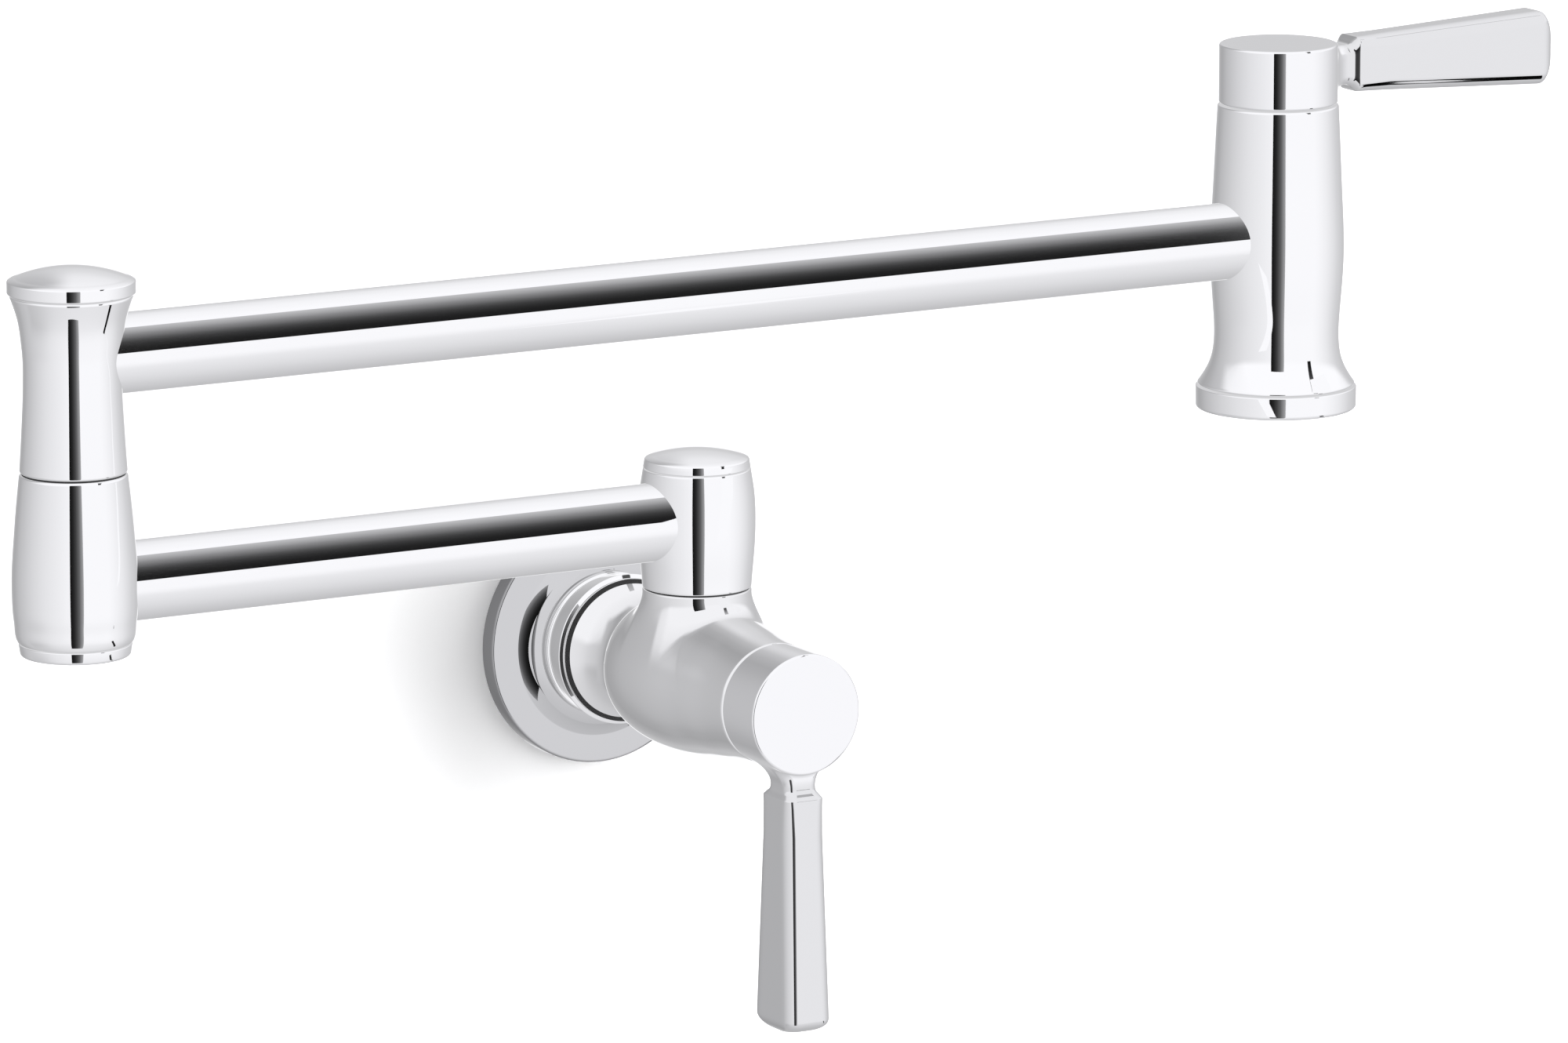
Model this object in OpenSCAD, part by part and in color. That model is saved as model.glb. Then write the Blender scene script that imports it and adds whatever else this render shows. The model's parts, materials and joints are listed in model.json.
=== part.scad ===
// Wall mounted pot filler: a swing arm with two joints, a valve at the wall and a valve at the spout.
// The wall is the plane y = 0, the room is toward -Y, the inlet axis is Y through the origin, up is +Z.
// Distances from the wall have names ending in _t, heights above the inlet axis in _z.

/* [Reach] */
// Distance from the wall to the axis of the wall swivel
arm_offset = 53.2; // [50:0.1:60]
// Distance from the wall swivel to the elbow
lower_reach = 169.4; // [150:0.2:240]
// Distance from the elbow to the spout
upper_reach = 336.4; // [300:0.2:420]

/* [Tubes] */
// Outside diameter of both arm tubes
tube_d = 19.2; // [17:0.1:19.4]
// Wall of both arm tubes
tube_wall = 1.2; // [0.9:0.1:2]

/* [Wall plate] */
// Diameter of the escutcheon
plate_d = 61.8; // [61:0.2:80]
// Depth of the escutcheon from the wall to its flat face
plate_t = 5.2; // [5:0.1:6.4]
// Sheet thickness of the escutcheon
plate_sheet = 1.6; // [1.2:0.1:1.8]
// Diameter at which the flat face ends and flares up to the collar ring
plate_flare_d = 47.8; // [44:0.2:50]
// Diameter at which that flare ends
plate_neck_d = 36; // [34.6:0.1:37]
// Distance from the wall to the end of the flare
plate_neck_t = 8.8; // [8:0.1:9.4]
// Diameter of the collar ring in front of the escutcheon
collar_d = 37.8; // [37.2:0.1:38.4]
// Length of the collar ring
collar_l = 9.65; // [8.6:0.05:10.4]

/* [Wall bracket] */
// Thickness of the bracket that is screwed to the wall
bracket_t = 2; // [1.5:0.1:2]
// Number of screws in the bracket
screw_count = 3; // [3:1:5]
// Shank diameter of a wall screw
screw_d = 4.2; // [3.5:0.1:4.4]
// Length of a wall screw behind the wall plane
screw_reach = 22; // [15:1:35]

/* [Inlet adapter] */
// Minor diameter of the adapter's inlet thread, half inch taper pipe
inlet_thread_d = 18.3; // [18:0.1:18.8]
// Length of the inlet thread
inlet_thread_l = 13.2; // [11:0.1:13.4]
// Size of the adapter's hexagon across its flats
adapter_hex = 23; // [22.4:0.1:23.4]
// Diameter of the spigot that the wall body slides on to
spigot_d = 19; // [18.4:0.1:19.4]
// Bore through the adapter and the body's inlet
inlet_bore_d = 12.8; // [11.4:0.1:13.4]

/* [Wall body] */
// Largest diameter of the body, under the arm
bulb_d = 37.9; // [37:0.1:42]
// Distance from the wall to the body's front face
body_front = 91.3; // [90:0.1:98]
// Diameter of the boss that carries the arm
boss_d = 26.8; // [26:0.1:28]
// Height of the boss above the inlet axis
boss_top = 22; // [21.6:0.1:24]

/* [Swivels] */
// Diameter of both swivel posts
post_d = 17.9; // [17.5:0.05:18]
// Water bore in both swivel posts
post_bore_d = 10; // [8:0.1:10.4]
// Radial clearance between a post and the barrel that turns on it
post_clear = 0.05; // [0.02:0.01:0.09]
// Thickness of the thrust washers that show as a dark line
washer_t = 0.4; // [0.3:0.1:0.8]
// Height of both retaining nuts
nut_t = 2.8; // [2.2:0.1:3]
// Section of the O-rings on the posts
o_ring_d = 1.8; // [1.5:0.1:1.9]

/* [Hub barrel] */
// Largest diameter of the barrel that turns on the wall body
hub_d = 28.8; // [28.4:0.1:31]
// Height of that barrel
hub_h = 29.35; // [29:0.05:32]
// Height of the lower tube above the bottom of that barrel
hub_tube_rise = 16.95; // [16.6:0.05:17.4]
// Height of the hub's cap, dome included
hub_cap_h = 4.35; // [3.6:0.05:6]

/* [Elbow] */
// Largest diameter of the elbow's lower barrel
elbow_low_d = 30.04; // [29.6:0.02:32]
// Height of the elbow's lower barrel
elbow_low_h = 40.55; // [38:0.05:46]
// Depth of the lower barrel below the lower tube's axis
elbow_low_drop = 13.2; // [12.6:0.05:14]
// Diameter of the elbow's rim, which its upper barrel flares out to
elbow_rim_d = 30.6; // [30:0.05:33]
// Height of the elbow's upper barrel
elbow_up_h = 42.55; // [42:0.05:46]
// Height of the upper tube above the bottom of the upper barrel
elbow_tube_rise = 27.4; // [27.2:0.05:28]
// Height of the rim under the elbow's dome
elbow_rim_h = 3.2; // [2.4:0.1:5]
// Height of the elbow's dome above its rim
elbow_dome_h = 3.3; // [2:0.1:6]
// Height of the cap under the elbow
elbow_foot_h = 3.25; // [2.6:0.05:5]

/* [Spout] */
// Height of the spout body's top above the upper tube's axis
spout_rise = 33.5; // [33:0.1:36]
// Height of the spout body
spout_h = 70.8; // [69:0.1:80]
// Diameter of the spout body at its flared foot
spout_foot_d = 40; // [39:0.1:44]
// Diameter of the ring under the foot
ring_d = 40.4; // [39.4:0.1:44.4]
// Height of the ring under the foot
ring_h = 5.7; // [5:0.1:7]
// Diameter of the outlet's thread
outlet_thread_d = 24; // [22:0.1:24.6]

/* [Valves] */
// Diameter of the cavity that holds a cartridge
cavity_d = 22.9; // [22.4:0.1:23.4]
// Depth of that cavity behind the body's front face
cavity_l = 36; // [35:0.1:37]
// Diameter of the cartridge's housing
cartridge_d = 18; // [17.6:0.1:19]
// Diameter of the ceramic discs
disc_d = 16; // [15.2:0.1:16.4]
// Diameter of the valve stem
stem_d = 9; // [8:0.1:9.4]

/* [Handles] */
// Diameter of a handle's round hub
handle_d = 29.8; // [29.4:0.1:32]
// Length of a handle's round hub
handle_l = 14.9; // [14.5:0.1:17]
// Distance from the valve axis to the lever's end
lever_reach = 79; // [70:0.5:100]
// Thickness of the lever at its end
lever_w = 12.3; // [11:0.1:14]
// Height of the lever at its end, along the valve axis
lever_h = 19; // [17:0.1:20]
// Corner radius along the lever's edges
lever_round = 2.4; // [1.8:0.1:2.5]
// Rounding at the lever's end
lever_end_round = 3.6; // [2.4:0.1:3.6]

/* [Hidden] */
$fn = 64;

// Clearances and small shared sizes
over = 1;                 // how far a cut runs past the face it opens
seat_clear = 0.02;        // a piece fixed in its seat, on the radius
gap = 0.05;               // flat faces that slide on each other
seam = 0.25;              // the dark line between two fixed covers
handle_seam = 0.4;        // between a handle and the body it turns on
edge_round = 0.5;         // broken edge of a turned cover
curve_steps = 3;          // pieces between two points of a smooth outline
arc_steps = 4;            // pieces of a rounded corner

tube_r = tube_d / 2;
tube_bore_r = tube_r - tube_wall;

// Heights, from the boss on the wall body up to the spout's top
hub_z = boss_top + washer_t + gap;
hub_top = hub_z + hub_h;
lower_z = hub_z + hub_tube_rise;
elbow_low_z = lower_z - elbow_low_drop;
elbow_low_top = elbow_low_z + elbow_low_h;
elbow_up_z = elbow_low_top + washer_t + gap;
elbow_up_top = elbow_up_z + elbow_up_h;
upper_z = elbow_up_z + elbow_tube_rise;
spout_top = upper_z + spout_rise;
spout_z = spout_top - spout_h;
spout_x = upper_reach - lower_reach;

// Outlines of the turned pieces: share of the length, share of the largest radius
hub_shares = [[0, 0.929], [0.1, 0.944], [0.25, 0.971], [0.42, 0.994], [0.56, 1], [0.7, 0.994],
    [0.83, 0.971], [0.92, 0.944], [1, 0.917]];
elbow_low_shares = [[0, 0.909], [0.022, 0.937], [0.099, 0.966], [0.173, 0.987], [0.249, 0.997],
    [0.36, 1], [0.473, 0.989], [0.621, 0.959], [0.772, 0.925], [0.92, 0.885], [1, 0.861]];
elbow_up_shares = [[0, 0.842], [0.153, 0.814], [0.294, 0.792], [0.435, 0.773], [0.536, 0.767],
    [0.649, 0.771], [0.719, 0.788], [0.79, 0.809], [0.86, 0.842], [0.94, 0.908], [1, 0.967]];
spout_shares = [[0, 1], [0.018, 0.955], [0.057, 0.872], [0.095, 0.819], [0.13, 0.795],
    [0.18, 0.784], [0.27, 0.799], [0.39, 0.83], [0.475, 0.841], [0.559, 0.836], [0.67, 0.8165],
    [0.781, 0.7975], [0.894, 0.779], [1, 0.76]];
bulb_shares = [[0, 0.888], [0.036, 0.765], [0.071, 0.702], [0.106, 0.67], [0.14, 0.675],
    [0.175, 0.734], [0.217, 0.839], [0.258, 0.913], [0.314, 0.966], [0.383, 0.995], [0.453, 1],
    [0.536, 0.984], [0.619, 0.947], [0.703, 0.9], [0.786, 0.86], [0.869, 0.821], [1, 0.786]];

// Wall side, all along the inlet axis from the wall
collar_t = plate_neck_t + gap;
collar_end = collar_t + collar_l;
collar_seal_t = collar_end + gap;
collar_seal_l = 0.5;      // black ring between the collar ring and the body
neck_t = collar_seal_t + collar_seal_l + gap;
thread_r = 13.4;          // the body's rear thread, which the collar ring screws on to
socket_r = 11.4;          // the adapter's round part, inside that thread
rim_inner_r = plate_d / 2 - plate_sheet;
gasket_w = 2;
bracket_margin = 0.58;    // between the bracket and the gasket
bracket_r = rim_inner_r - gasket_w - bracket_margin;
adapter_corner_r = adapter_hex / sqrt(3);
screw_circle_r = (bracket_r + adapter_corner_r) / 2;
plate_hole_clear = 1;     // between the adapter's corners and the escutcheon
plate_hole_r = adapter_corner_r + plate_hole_clear;
flare_low_share = 0.32;   // the flare's rise at half its width, along its first slope
bead_l = 1;               // round bead at the collar ring's foot, and the groove above it
bead_groove = 0.6;
front_step = 1;           // the collar ring's narrower front, on the radius and along it
front_l = 1.2;
screw_head_d = 6.8;
screw_head_t = 1.3;
screw_clear = 0.1;
screw_shank = 1;          // how far the plain shank goes into the wall
screw_core_share = 0.85;  // the threaded part's core, of the shank
adapter_foot_r = 10.8;
bracket_hole_clear = 0.2; // around the adapter's foot in the bracket
hex_t = bracket_t + gap;
hex_end = plate_neck_t - gap;
body_rear = plate_neck_t + 4 * gap;
adapter_round_l = 6.9;
socket_t = hex_end + adapter_round_l;
first_ring_at = 3.9;      // O-rings on the spigot, from the step behind them
second_ring_at = 8.9;
lock_at = 13.8;           // the set screw that locks the body on its spigot
spigot_l = 17.9;
adapter_groove_at = [first_ring_at, second_ring_at];
lock_t = socket_t + lock_at;
spigot_end = socket_t + spigot_l;
groove_side = 0.2;        // beside an O-ring in its groove
groove_w = o_ring_d + 2 * groove_side;
lock_d = 4.8;
lock_side = 0.3;
lock_groove_depth = 1;
lock_groove_w = lock_d + 2 * lock_side;

// Outlet from the wall valve up to the arm
valve_seat_t = body_front - cavity_l;
seat_t = 2.4;             // wall that carries a valve's seat
seat_hole_r = 5.5;
pocket_r = 6;
pocket_wall = 4;          // between the inlet bore and the pocket under the post
pocket_floor = inlet_bore_d / 2 + pocket_wall;
post_seat = 5.8;
post_foot = boss_top - post_seat;
gallery_r = 3.4;
gallery_rise = 1.15;
gallery_z = cavity_d / 2 + gallery_rise;
gallery_run = 12.7;
gallery_end = valve_seat_t + gallery_run;

// Swivel posts
post_r = post_d / 2;
bore_r = post_r + post_clear;
post_thread_r = 7.5;
nut_corner_r = 9.8;
nut_room_r = 10;
nut_washer_t = 0.5;
nut_head = nut_washer_t + nut_t;
waist_r = 7.2;
port_r = 3.3;
port_count = 4;
o_ring_r = post_r - o_ring_d / 2;
washer_margin = 0.5;      // how far a thrust washer stays inside the barrel's edge

// Tube seats: just inside the barrel at the tube's sides
seat_sink = 0.05;
function tube_seat(d) = sqrt(d * d / 4 - (tube_r + seat_clear) * (tube_r + seat_clear)) - seat_sink;

// Hub swivel heights, above the bottom of the hub barrel
hub_spigot_h = 1.3;
hub_nut_room = 0.35;      // between the post's top and the cap
hub_land_end = hub_h - hub_spigot_h - hub_nut_room - nut_head;
hub_chamber_below = 5.9;  // the chamber's reach below and above the tube's axis
hub_chamber_above = 3.9;
hub_chamber_low = hub_tube_rise - hub_chamber_below;
hub_chamber_high = hub_tube_rise + hub_chamber_above;
hub_port_r = hub_chamber_above;
hub_chamber_wall = 0.5;
hub_chamber_r = tube_seat(hub_d) - hub_chamber_wall;
hub_ring_low = 3.6;
hub_ring_middle = 8;
hub_ring_edge = 1.7;
hub_o_ring_at = [hub_ring_low, hub_ring_middle, hub_land_end - hub_ring_edge];

// Elbow heights: the lower ones above the lower barrel's bottom, the upper ones above the upper barrel's
elbow_plug_h = 4.4;
tube_port_edge = 1;
elbow_port_r = tube_bore_r - tube_port_edge;
elbow_post_gap = 0.7;     // from the lower tube's top to the post's foot
elbow_post_foot = elbow_low_drop + tube_r + elbow_post_gap;
elbow_land_end = 11.1;
elbow_ring_low = 3.3;
elbow_ring_high = 7.8;
elbow_o_ring_at = [elbow_ring_low, elbow_ring_high];
elbow_cap_plug_h = 4.6;

// Spout, outlet and aerator
spout_waist_share = 0.84; // the barrel at the tube's height, of its foot
spout_waist_d = spout_waist_share * spout_foot_d;
spout_port_edge = 0.3;    // between the port and the tube's bore
spout_port_step = 0.8;    // between the valve's seat and the port
spout_port_r = (tube_bore_r + cavity_l - spout_rise - spout_port_edge - spout_port_step) / 2;
spout_port_rise = tube_bore_r - spout_port_edge - spout_port_r;
outlet_bore_r = 7.5;
ring_gap = 0.4;
ring_w = 4.2;
foot_spigot_r = ring_d / 2 - ring_w;
foot_spigot_short = 0.6;  // the spigot stops this far above the ring's face
aerator_h = 8.6;
aerator_wall = 1.8;
aerator_lip = 1.2;
aerator_inset = 0.3;
aerator_z = spout_z - ring_gap - ring_h + aerator_inset;
aerator_washer_t = 1.6;
mesh_t = 1.6;
mesh_hole_r = 0.8;
mesh_step = 3.2;
mesh_rings = 2;

// Valve, measured from the body's front face back to the seat
seal_t = 2;
fixed_disc_t = 3;
moving_disc_t = 2.5;
disc_film = 0.02;
disc_side = 0.25;
housing_bore_r = disc_d / 2 + disc_side;
housing_foot = 1;         // the housing stops this far above the seat
flange_front = 9;
flange_t = 3;
flange_side = 0.5;
flange_r = cavity_d / 2 - flange_side;
stem_flange_t = 2;
stem_flange_side = 0.45;
stem_flange_r = housing_bore_r - stem_flange_side;
stem_clear = 0.05;
disc_hole_r = 2.3;
disc_hole_at = 4.6;
window_w = 9;
tab_w = 3;
tab_l = 11;
tab_h = 1.2;
tab_clear = 0.05;
spline_r = 3.9;
spline_start = -1;
bonnet_bore_r = 6;
bonnet_hex_side = 0.55;
bonnet_hex_r = cavity_d / 2 - bonnet_hex_side;
bonnet_hex_front = 3;
bonnet_thread_front = -0.5;
stem_ring_d = 1;
stem_ring_side = 0.15;
stem_ring_at = -13;
seat_z = -cavity_l;
fixed_disc_z = seat_z + seal_t;
moving_disc_z = fixed_disc_z + fixed_disc_t + disc_film;
stem_flange_z = moving_disc_z + moving_disc_t + disc_film;
stem_top_z = stem_flange_z + stem_flange_t;

// Handle
handle_top = handle_seam + handle_l;
handle_face = 5.1;        // metal left in front of the spline
recess_wall = 2.5;
recess_r = handle_d / 2 - recess_wall;
recess_l = 4;
insert_r = 6.4;
insert_foot = 3.2;
insert_start = handle_seam + insert_foot;
insert_end = handle_top - handle_face;
spline_short = 0.6;
spline_end = insert_end - spline_short;
grub_d = 3.8;
grub_rise = 1.3;          // from the recess to the set screw
grub_z = handle_seam + recess_l + grub_rise + grub_d / 2;
grub_l = 7;
grub_socket_d = 2;
grub_socket_l = 1.6;
lever_middle = handle_seam + handle_l / 2;
lever_lift = 0.9;         // the lever's middle lies this far outward of the hub's middle
lever_root_reach = 21;    // distance from the axis to the lever's shoulder
corner_share = 0.46;      // the most that a rounded corner takes of a lever section's side
// Root of the lever: share of the shoulder's distance, of the end's thickness, height and lift
root_shares = [[0.53, 1.55, 0.735, 0], [0.59, 1.46, 0.727, 0.1], [0.643, 1.27, 0.695, 0.3],
    [0.69, 1.075, 0.655, 0.5], [0.738, 0.928, 0.61, 0.7], [0.786, 0.805, 0.568, 0.85],
    [0.829, 0.732, 0.537, 0.95], [0.867, 0.703, 0.526, 1], [0.91, 0.724, 0.548, 1],
    [0.952, 0.772, 0.61, 1], [0.993, 0.84, 0.71, 1], [1, 0.854, 0.728, 1]];

// Caps
cap_side_share = 0.5;     // the hub cap's side, of its height
cap_top_share = 0.97;     // the hub cap at the top of its side, of its bottom
elbow_foot_share = 0.965; // the elbow's bottom cap at its lower edge, of the barrel

// Outline helpers
function blend(a, b, c, d, u) = (2 * b + (c - a) * u + (2 * a - 5 * b + 4 * c - d) * u * u
    + (3 * b - a - 3 * c + d) * u * u * u) / 2;
function at(p, i) = p[max(0, min(len(p) - 1, i))];
function smooth(p, n) = concat(
    [for (i = [0:len(p) - 2], k = [0:n - 1]) blend(at(p, i - 1), p[i], p[i + 1], at(p, i + 2), k / n)],
    [p[len(p) - 1]]);
function scaled(shares, z, h, r) = smooth([for (s = shares) [s[1] * r, z + s[0] * h]], curve_steps);
function arc(x, y, r, a, b, n) = [for (k = [0:n]) [x + r * cos(a + (b - a) * k / n),
    y + r * sin(a + (b - a) * k / n)]];

module turned(outline, z0, z1) {
    rotate_extrude() polygon(concat([[0, z0]], outline, [[0, z1]]));
}
module ring(r_out, r_in, z, h) {
    translate([0, 0, z]) difference() {
        cylinder(r = r_out, h = h);
        translate([0, 0, -over]) cylinder(r = r_in, h = h + 2 * over);
    }
}
module torus(r, d, z) {
    translate([0, 0, z]) rotate_extrude() translate([r, 0]) circle(d = d, $fn = 24);
}
module hex_prism(r, z, h) {
    translate([0, 0, z]) cylinder(r = r, h = h, $fn = 6);
}
// A disc with broken edges, from z0 up to z1
function rounded_disc(r, z0, z1, e) = concat(arc(r - e, z0 + e, e, -90, 0, arc_steps),
    arc(r - e, z1 - e, e, 0, 90, arc_steps));

module inlet_axis() { rotate([90, 0, 0]) children(); }
module at_hub() { translate([0, -arm_offset, 0]) children(); }
module at_elbow() { translate([-lower_reach, -arm_offset, 0]) children(); }
module at_spout() { translate([spout_x, -arm_offset, 0]) children(); }
module at_wall_valve() { translate([0, -body_front, 0]) rotate([90, 0, 0]) rotate([0, 0, -90]) children(); }
module at_spout_valve() { translate([spout_x, -arm_offset, spout_top]) children(); }

// Wall side
module screw_places() {
    for (i = [0:screw_count - 1])
        rotate([0, 0, 90 + i * 360 / screw_count]) translate([screw_circle_r, 0, 0]) children();
}
module mounting_plate() {
    color("lightgray") inlet_axis() difference() {
        cylinder(r = bracket_r, h = bracket_t);
        translate([0, 0, -over]) cylinder(r = adapter_foot_r + bracket_hole_clear, h = bracket_t + 2 * over);
        screw_places() translate([0, 0, -over])
            cylinder(d = screw_d + 2 * screw_clear, h = bracket_t + 2 * over);
    }
}
module wall_screws() {
    point = screw_d;
    core_d = screw_core_share * screw_d;
    color("silver") inlet_axis() screw_places() {
        translate([0, 0, -screw_shank]) cylinder(d = screw_d, h = screw_shank + bracket_t);
        translate([0, 0, point - screw_reach]) cylinder(d = core_d, h = screw_reach - point);
        translate([0, 0, -screw_reach]) cylinder(d1 = core_d / 8, d2 = core_d, h = point);
        difference() {
            translate([0, 0, bracket_t]) cylinder(d = screw_head_d, h = screw_head_t);
            for (a = [0, 90])
                rotate([0, 0, a]) translate([-screw_d / 2, -screw_d / 8, bracket_t + screw_head_t / 2])
                    cube([screw_d, screw_d / 4, screw_head_t]);
        }
    }
}
module groove(r, depth, z, w) {
    translate([0, 0, z - w / 2]) difference() {
        cylinder(r = r + over, h = w);
        translate([0, 0, -over]) cylinder(r = r - depth, h = w + 2 * over);
    }
}
module inlet_adapter() {
    spigot_r = spigot_d / 2;
    color("goldenrod") inlet_axis() difference() {
        union() {
            cylinder(r = adapter_foot_r, h = hex_end);
            hex_prism(adapter_corner_r, hex_t, hex_end - hex_t);
            translate([0, 0, hex_t]) cylinder(r = socket_r, h = socket_t - hex_t);
            translate([0, 0, hex_t]) cylinder(r = spigot_r, h = spigot_end - hex_t);
        }
        translate([0, 0, -over]) cylinder(d = inlet_thread_d, h = inlet_thread_l + over);
        cylinder(d = inlet_bore_d, h = spigot_end + over);
        for (t = adapter_groove_at) groove(spigot_r, o_ring_d, socket_t + t, groove_w);
        groove(spigot_r, lock_groove_depth, lock_t, lock_groove_w);
    }
}
module adapter_o_rings() {
    color("dimgray") inlet_axis() for (t = adapter_groove_at)
        torus(spigot_d / 2 - o_ring_d / 2, o_ring_d, socket_t + t);
}
module escutcheon() {
    r = plate_d / 2;
    soft = 2 * edge_round;
    first = [plate_flare_d / 2, plate_t];
    last = [plate_neck_d / 2, plate_neck_t];
    between = [(first[0] + last[0]) / 2, plate_t + flare_low_share * (plate_neck_t - plate_t)];
    color("gainsboro") inlet_axis() rotate_extrude() polygon(concat(
        [[rim_inner_r, 0], [r, 0]],
        arc(r - soft, plate_t - soft, soft, 0, 90, arc_steps),
        [for (k = [0:2 * arc_steps]) let (u = k / (2 * arc_steps))
            (1 - u) * (1 - u) * first + 2 * u * (1 - u) * between + u * u * last],
        [[plate_hole_r, plate_neck_t], [plate_hole_r, plate_t - plate_sheet],
            [rim_inner_r, plate_t - plate_sheet]]));
}
module escutcheon_gasket() {
    r = rim_inner_r - gap;
    color("dimgray") inlet_axis() ring(r, r - gasket_w, 0, plate_t - plate_sheet - gap);
}
module collar_ring() {
    r = collar_d / 2;
    foot = plate_neck_d / 2;
    bead = bead_l / 2;
    color("silver") inlet_axis() rotate_extrude() polygon(concat(
        [[thread_r + seat_clear, collar_t]],
        arc(foot - bead, collar_t + bead, bead, -90, 60, 2 * arc_steps),
        [[foot - bead_groove, collar_t + bead_l], [foot - bead_groove, collar_t + bead_l + bead / 2],
            [foot - bead_groove + bead / 2, collar_t + 2 * bead_l]],
        [[r, collar_end - front_l], [r - front_step, collar_end - front_l + front_step / 2],
            [r - front_step, collar_end], [thread_r + seat_clear, collar_end]]));
}
module collar_seal() {
    color("dimgray") inlet_axis()
        ring(collar_d / 2 - front_step - gap, thread_r + bracket_hole_clear, collar_seal_t, collar_seal_l);
}

// Wall body: a bulb turned about the inlet axis, with a boss on top that blends into it
bulb_r = bulb_d / 2;
boss_r = boss_d / 2;
bulb_outline = scaled(bulb_shares, neck_t, body_front - neck_t, bulb_r);
function bulb_at(t) = lookup(t, [for (p = bulb_outline) [p[1], p[0]]]);
blend_steps = 44;
blend_rows = 8;
blend_up_share = 0.5;     // height of the blend on the boss, of the boss's radius
blend_out_share = 0.9;    // how far it runs out on the bulb, of its height
blend_side_share = 0.96;  // and at most how far round the bulb's side
blend_core_share = 0.8;   // its underside, inside the bulb
blend_sink = 0.12;        // how far its edges lie inside the pieces it joins
function bulb_top(s, a) = let (w = bulb_at(arm_offset - s * sin(a)))
    sqrt(max(0, w * w - s * s * cos(a) * cos(a)));
function blend_point(a, u) = let (
        inner = boss_r - blend_sink,
        low = bulb_top(inner, a),
        h = min(boss_r * blend_up_share, boss_top - 2 * edge_round - low),
        side = blend_side_share * bulb_at(arm_offset) / max(abs(cos(a)), 1 - blend_side_share),
        outer = min(boss_r + h * blend_out_share, side),
        foot = bulb_top(outer, a) - blend_sink,
        v = 1 - u,
        q = v * v * [inner, low + h] + 2 * u * v * [inner, low + h / 2] + u * u * [outer, foot])
    [q[0] * cos(a), q[0] * sin(a), q[1]];
module boss_blend() {
    n = blend_steps;
    m = blend_rows;
    rows = [for (j = [0:m - 1], i = [0:n - 1]) blend_point(i * 360 / n, j / (m - 1))];
    foot = [for (i = [0:n - 1]) let (p = rows[(m - 1) * n + i] * blend_core_share) [p[0], p[1], 0]];
    points = concat(rows, foot, [[0, 0, rows[0][2]], [0, 0, 0]]);
    top = len(points) - 2;
    bottom = len(points) - 1;
    sides = [for (j = [0:m - 1], i = [0:n - 1], f = [0, 1]) let (
            a = j * n + i, b = j * n + (i + 1) % n, c = a + n, d = b + n)
        f == 0 ? [a, b, c] : [b, d, c]];
    polyhedron(points, concat(sides,
        [for (i = [0:n - 1]) [top, (i + 1) % n, i]],
        [for (i = [0:n - 1]) [bottom, m * n + i, m * n + (i + 1) % n]]));
}
module wall_body() {
    cavity_r = cavity_d / 2;
    seat = valve_seat_t;
    color("silver") difference() {
        union() {
            inlet_axis() turned(bulb_outline, neck_t, body_front);
            inlet_axis() translate([0, 0, body_rear]) cylinder(r = thread_r, h = neck_t - body_rear + over);
            at_hub() turned(rounded_disc(boss_r, 0, boss_top, edge_round / 2), 0, boss_top);
            at_hub() boss_blend();
        }
        inlet_axis() {
            translate([0, 0, body_rear - over])
                cylinder(r = socket_r + seat_clear, h = socket_t - body_rear + over);
            translate([0, 0, body_rear])
                cylinder(r = spigot_d / 2 + seat_clear, h = spigot_end + gap - body_rear);
            translate([0, 0, body_rear]) cylinder(d = inlet_bore_d, h = seat - seat_t - body_rear);
            translate([0, 0, body_rear]) cylinder(r = seat_hole_r, h = seat - body_rear + over);
            translate([0, 0, seat]) cylinder(r = cavity_r, h = cavity_l + over);
            translate([0, gallery_z, arm_offset]) cylinder(r = gallery_r, h = gallery_end - arm_offset);
            translate([0, 0, lock_t]) rotate([90, 0, 0]) cylinder(d = lock_d + 2 * seat_clear, h = bulb_r);
        }
        at_hub() {
            translate([0, 0, pocket_floor]) cylinder(r = pocket_r, h = boss_top);
            translate([0, 0, post_foot]) cylinder(r = post_r + seat_clear, h = boss_top);
        }
    }
}
module socket_screw(d, l, socket_d, socket_l) {
    difference() {
        cylinder(d = d, h = l);
        hex_prism(socket_d / sqrt(3), l - socket_l, socket_l + over);
    }
}
module body_set_screw() {
    tip = spigot_d / 2 - lock_groove_depth + gap;
    head = bulb_at(lock_t) - edge_round;
    color("dimgray") inlet_axis() translate([0, 0, lock_t]) rotate([90, 0, 0]) translate([0, 0, tip])
        socket_screw(lock_d, head - tip, grub_socket_d, grub_socket_l);
}

// Valve pieces, each in the frame of its valve: the body's front face at zero, the handle above
module cartridge() {
    top = -flange_front;
    foot = seat_z + housing_foot;
    difference() {
        union() {
            translate([0, 0, foot]) cylinder(d = cartridge_d, h = top - foot);
            translate([0, 0, top - flange_t]) cylinder(r = flange_r, h = flange_t);
        }
        translate([0, 0, foot - over]) cylinder(r = housing_bore_r, h = stem_top_z + gap - foot + over);
        cylinder(r = stem_d / 2 + stem_clear, h = 2 * cavity_l, center = true);
        for (turn = [0, 90])
            rotate([0, 0, turn]) translate([-window_w / 2, -cartridge_d, moving_disc_z])
                cube([window_w, 2 * cartridge_d, moving_disc_t]);
    }
}
module disc(z, h, turn) {
    difference() {
        translate([0, 0, z]) cylinder(d = disc_d, h = h);
        for (s = [0, 180])
            rotate([0, 0, turn + s]) translate([disc_hole_at, 0, z - over])
                cylinder(r = disc_hole_r, h = h + 2 * over);
    }
}
module fixed_disc() { disc(fixed_disc_z, fixed_disc_t, 0); }
module seat_seal() { ring(disc_d / 2, seat_hole_r, seat_z, seal_t); }
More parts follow.
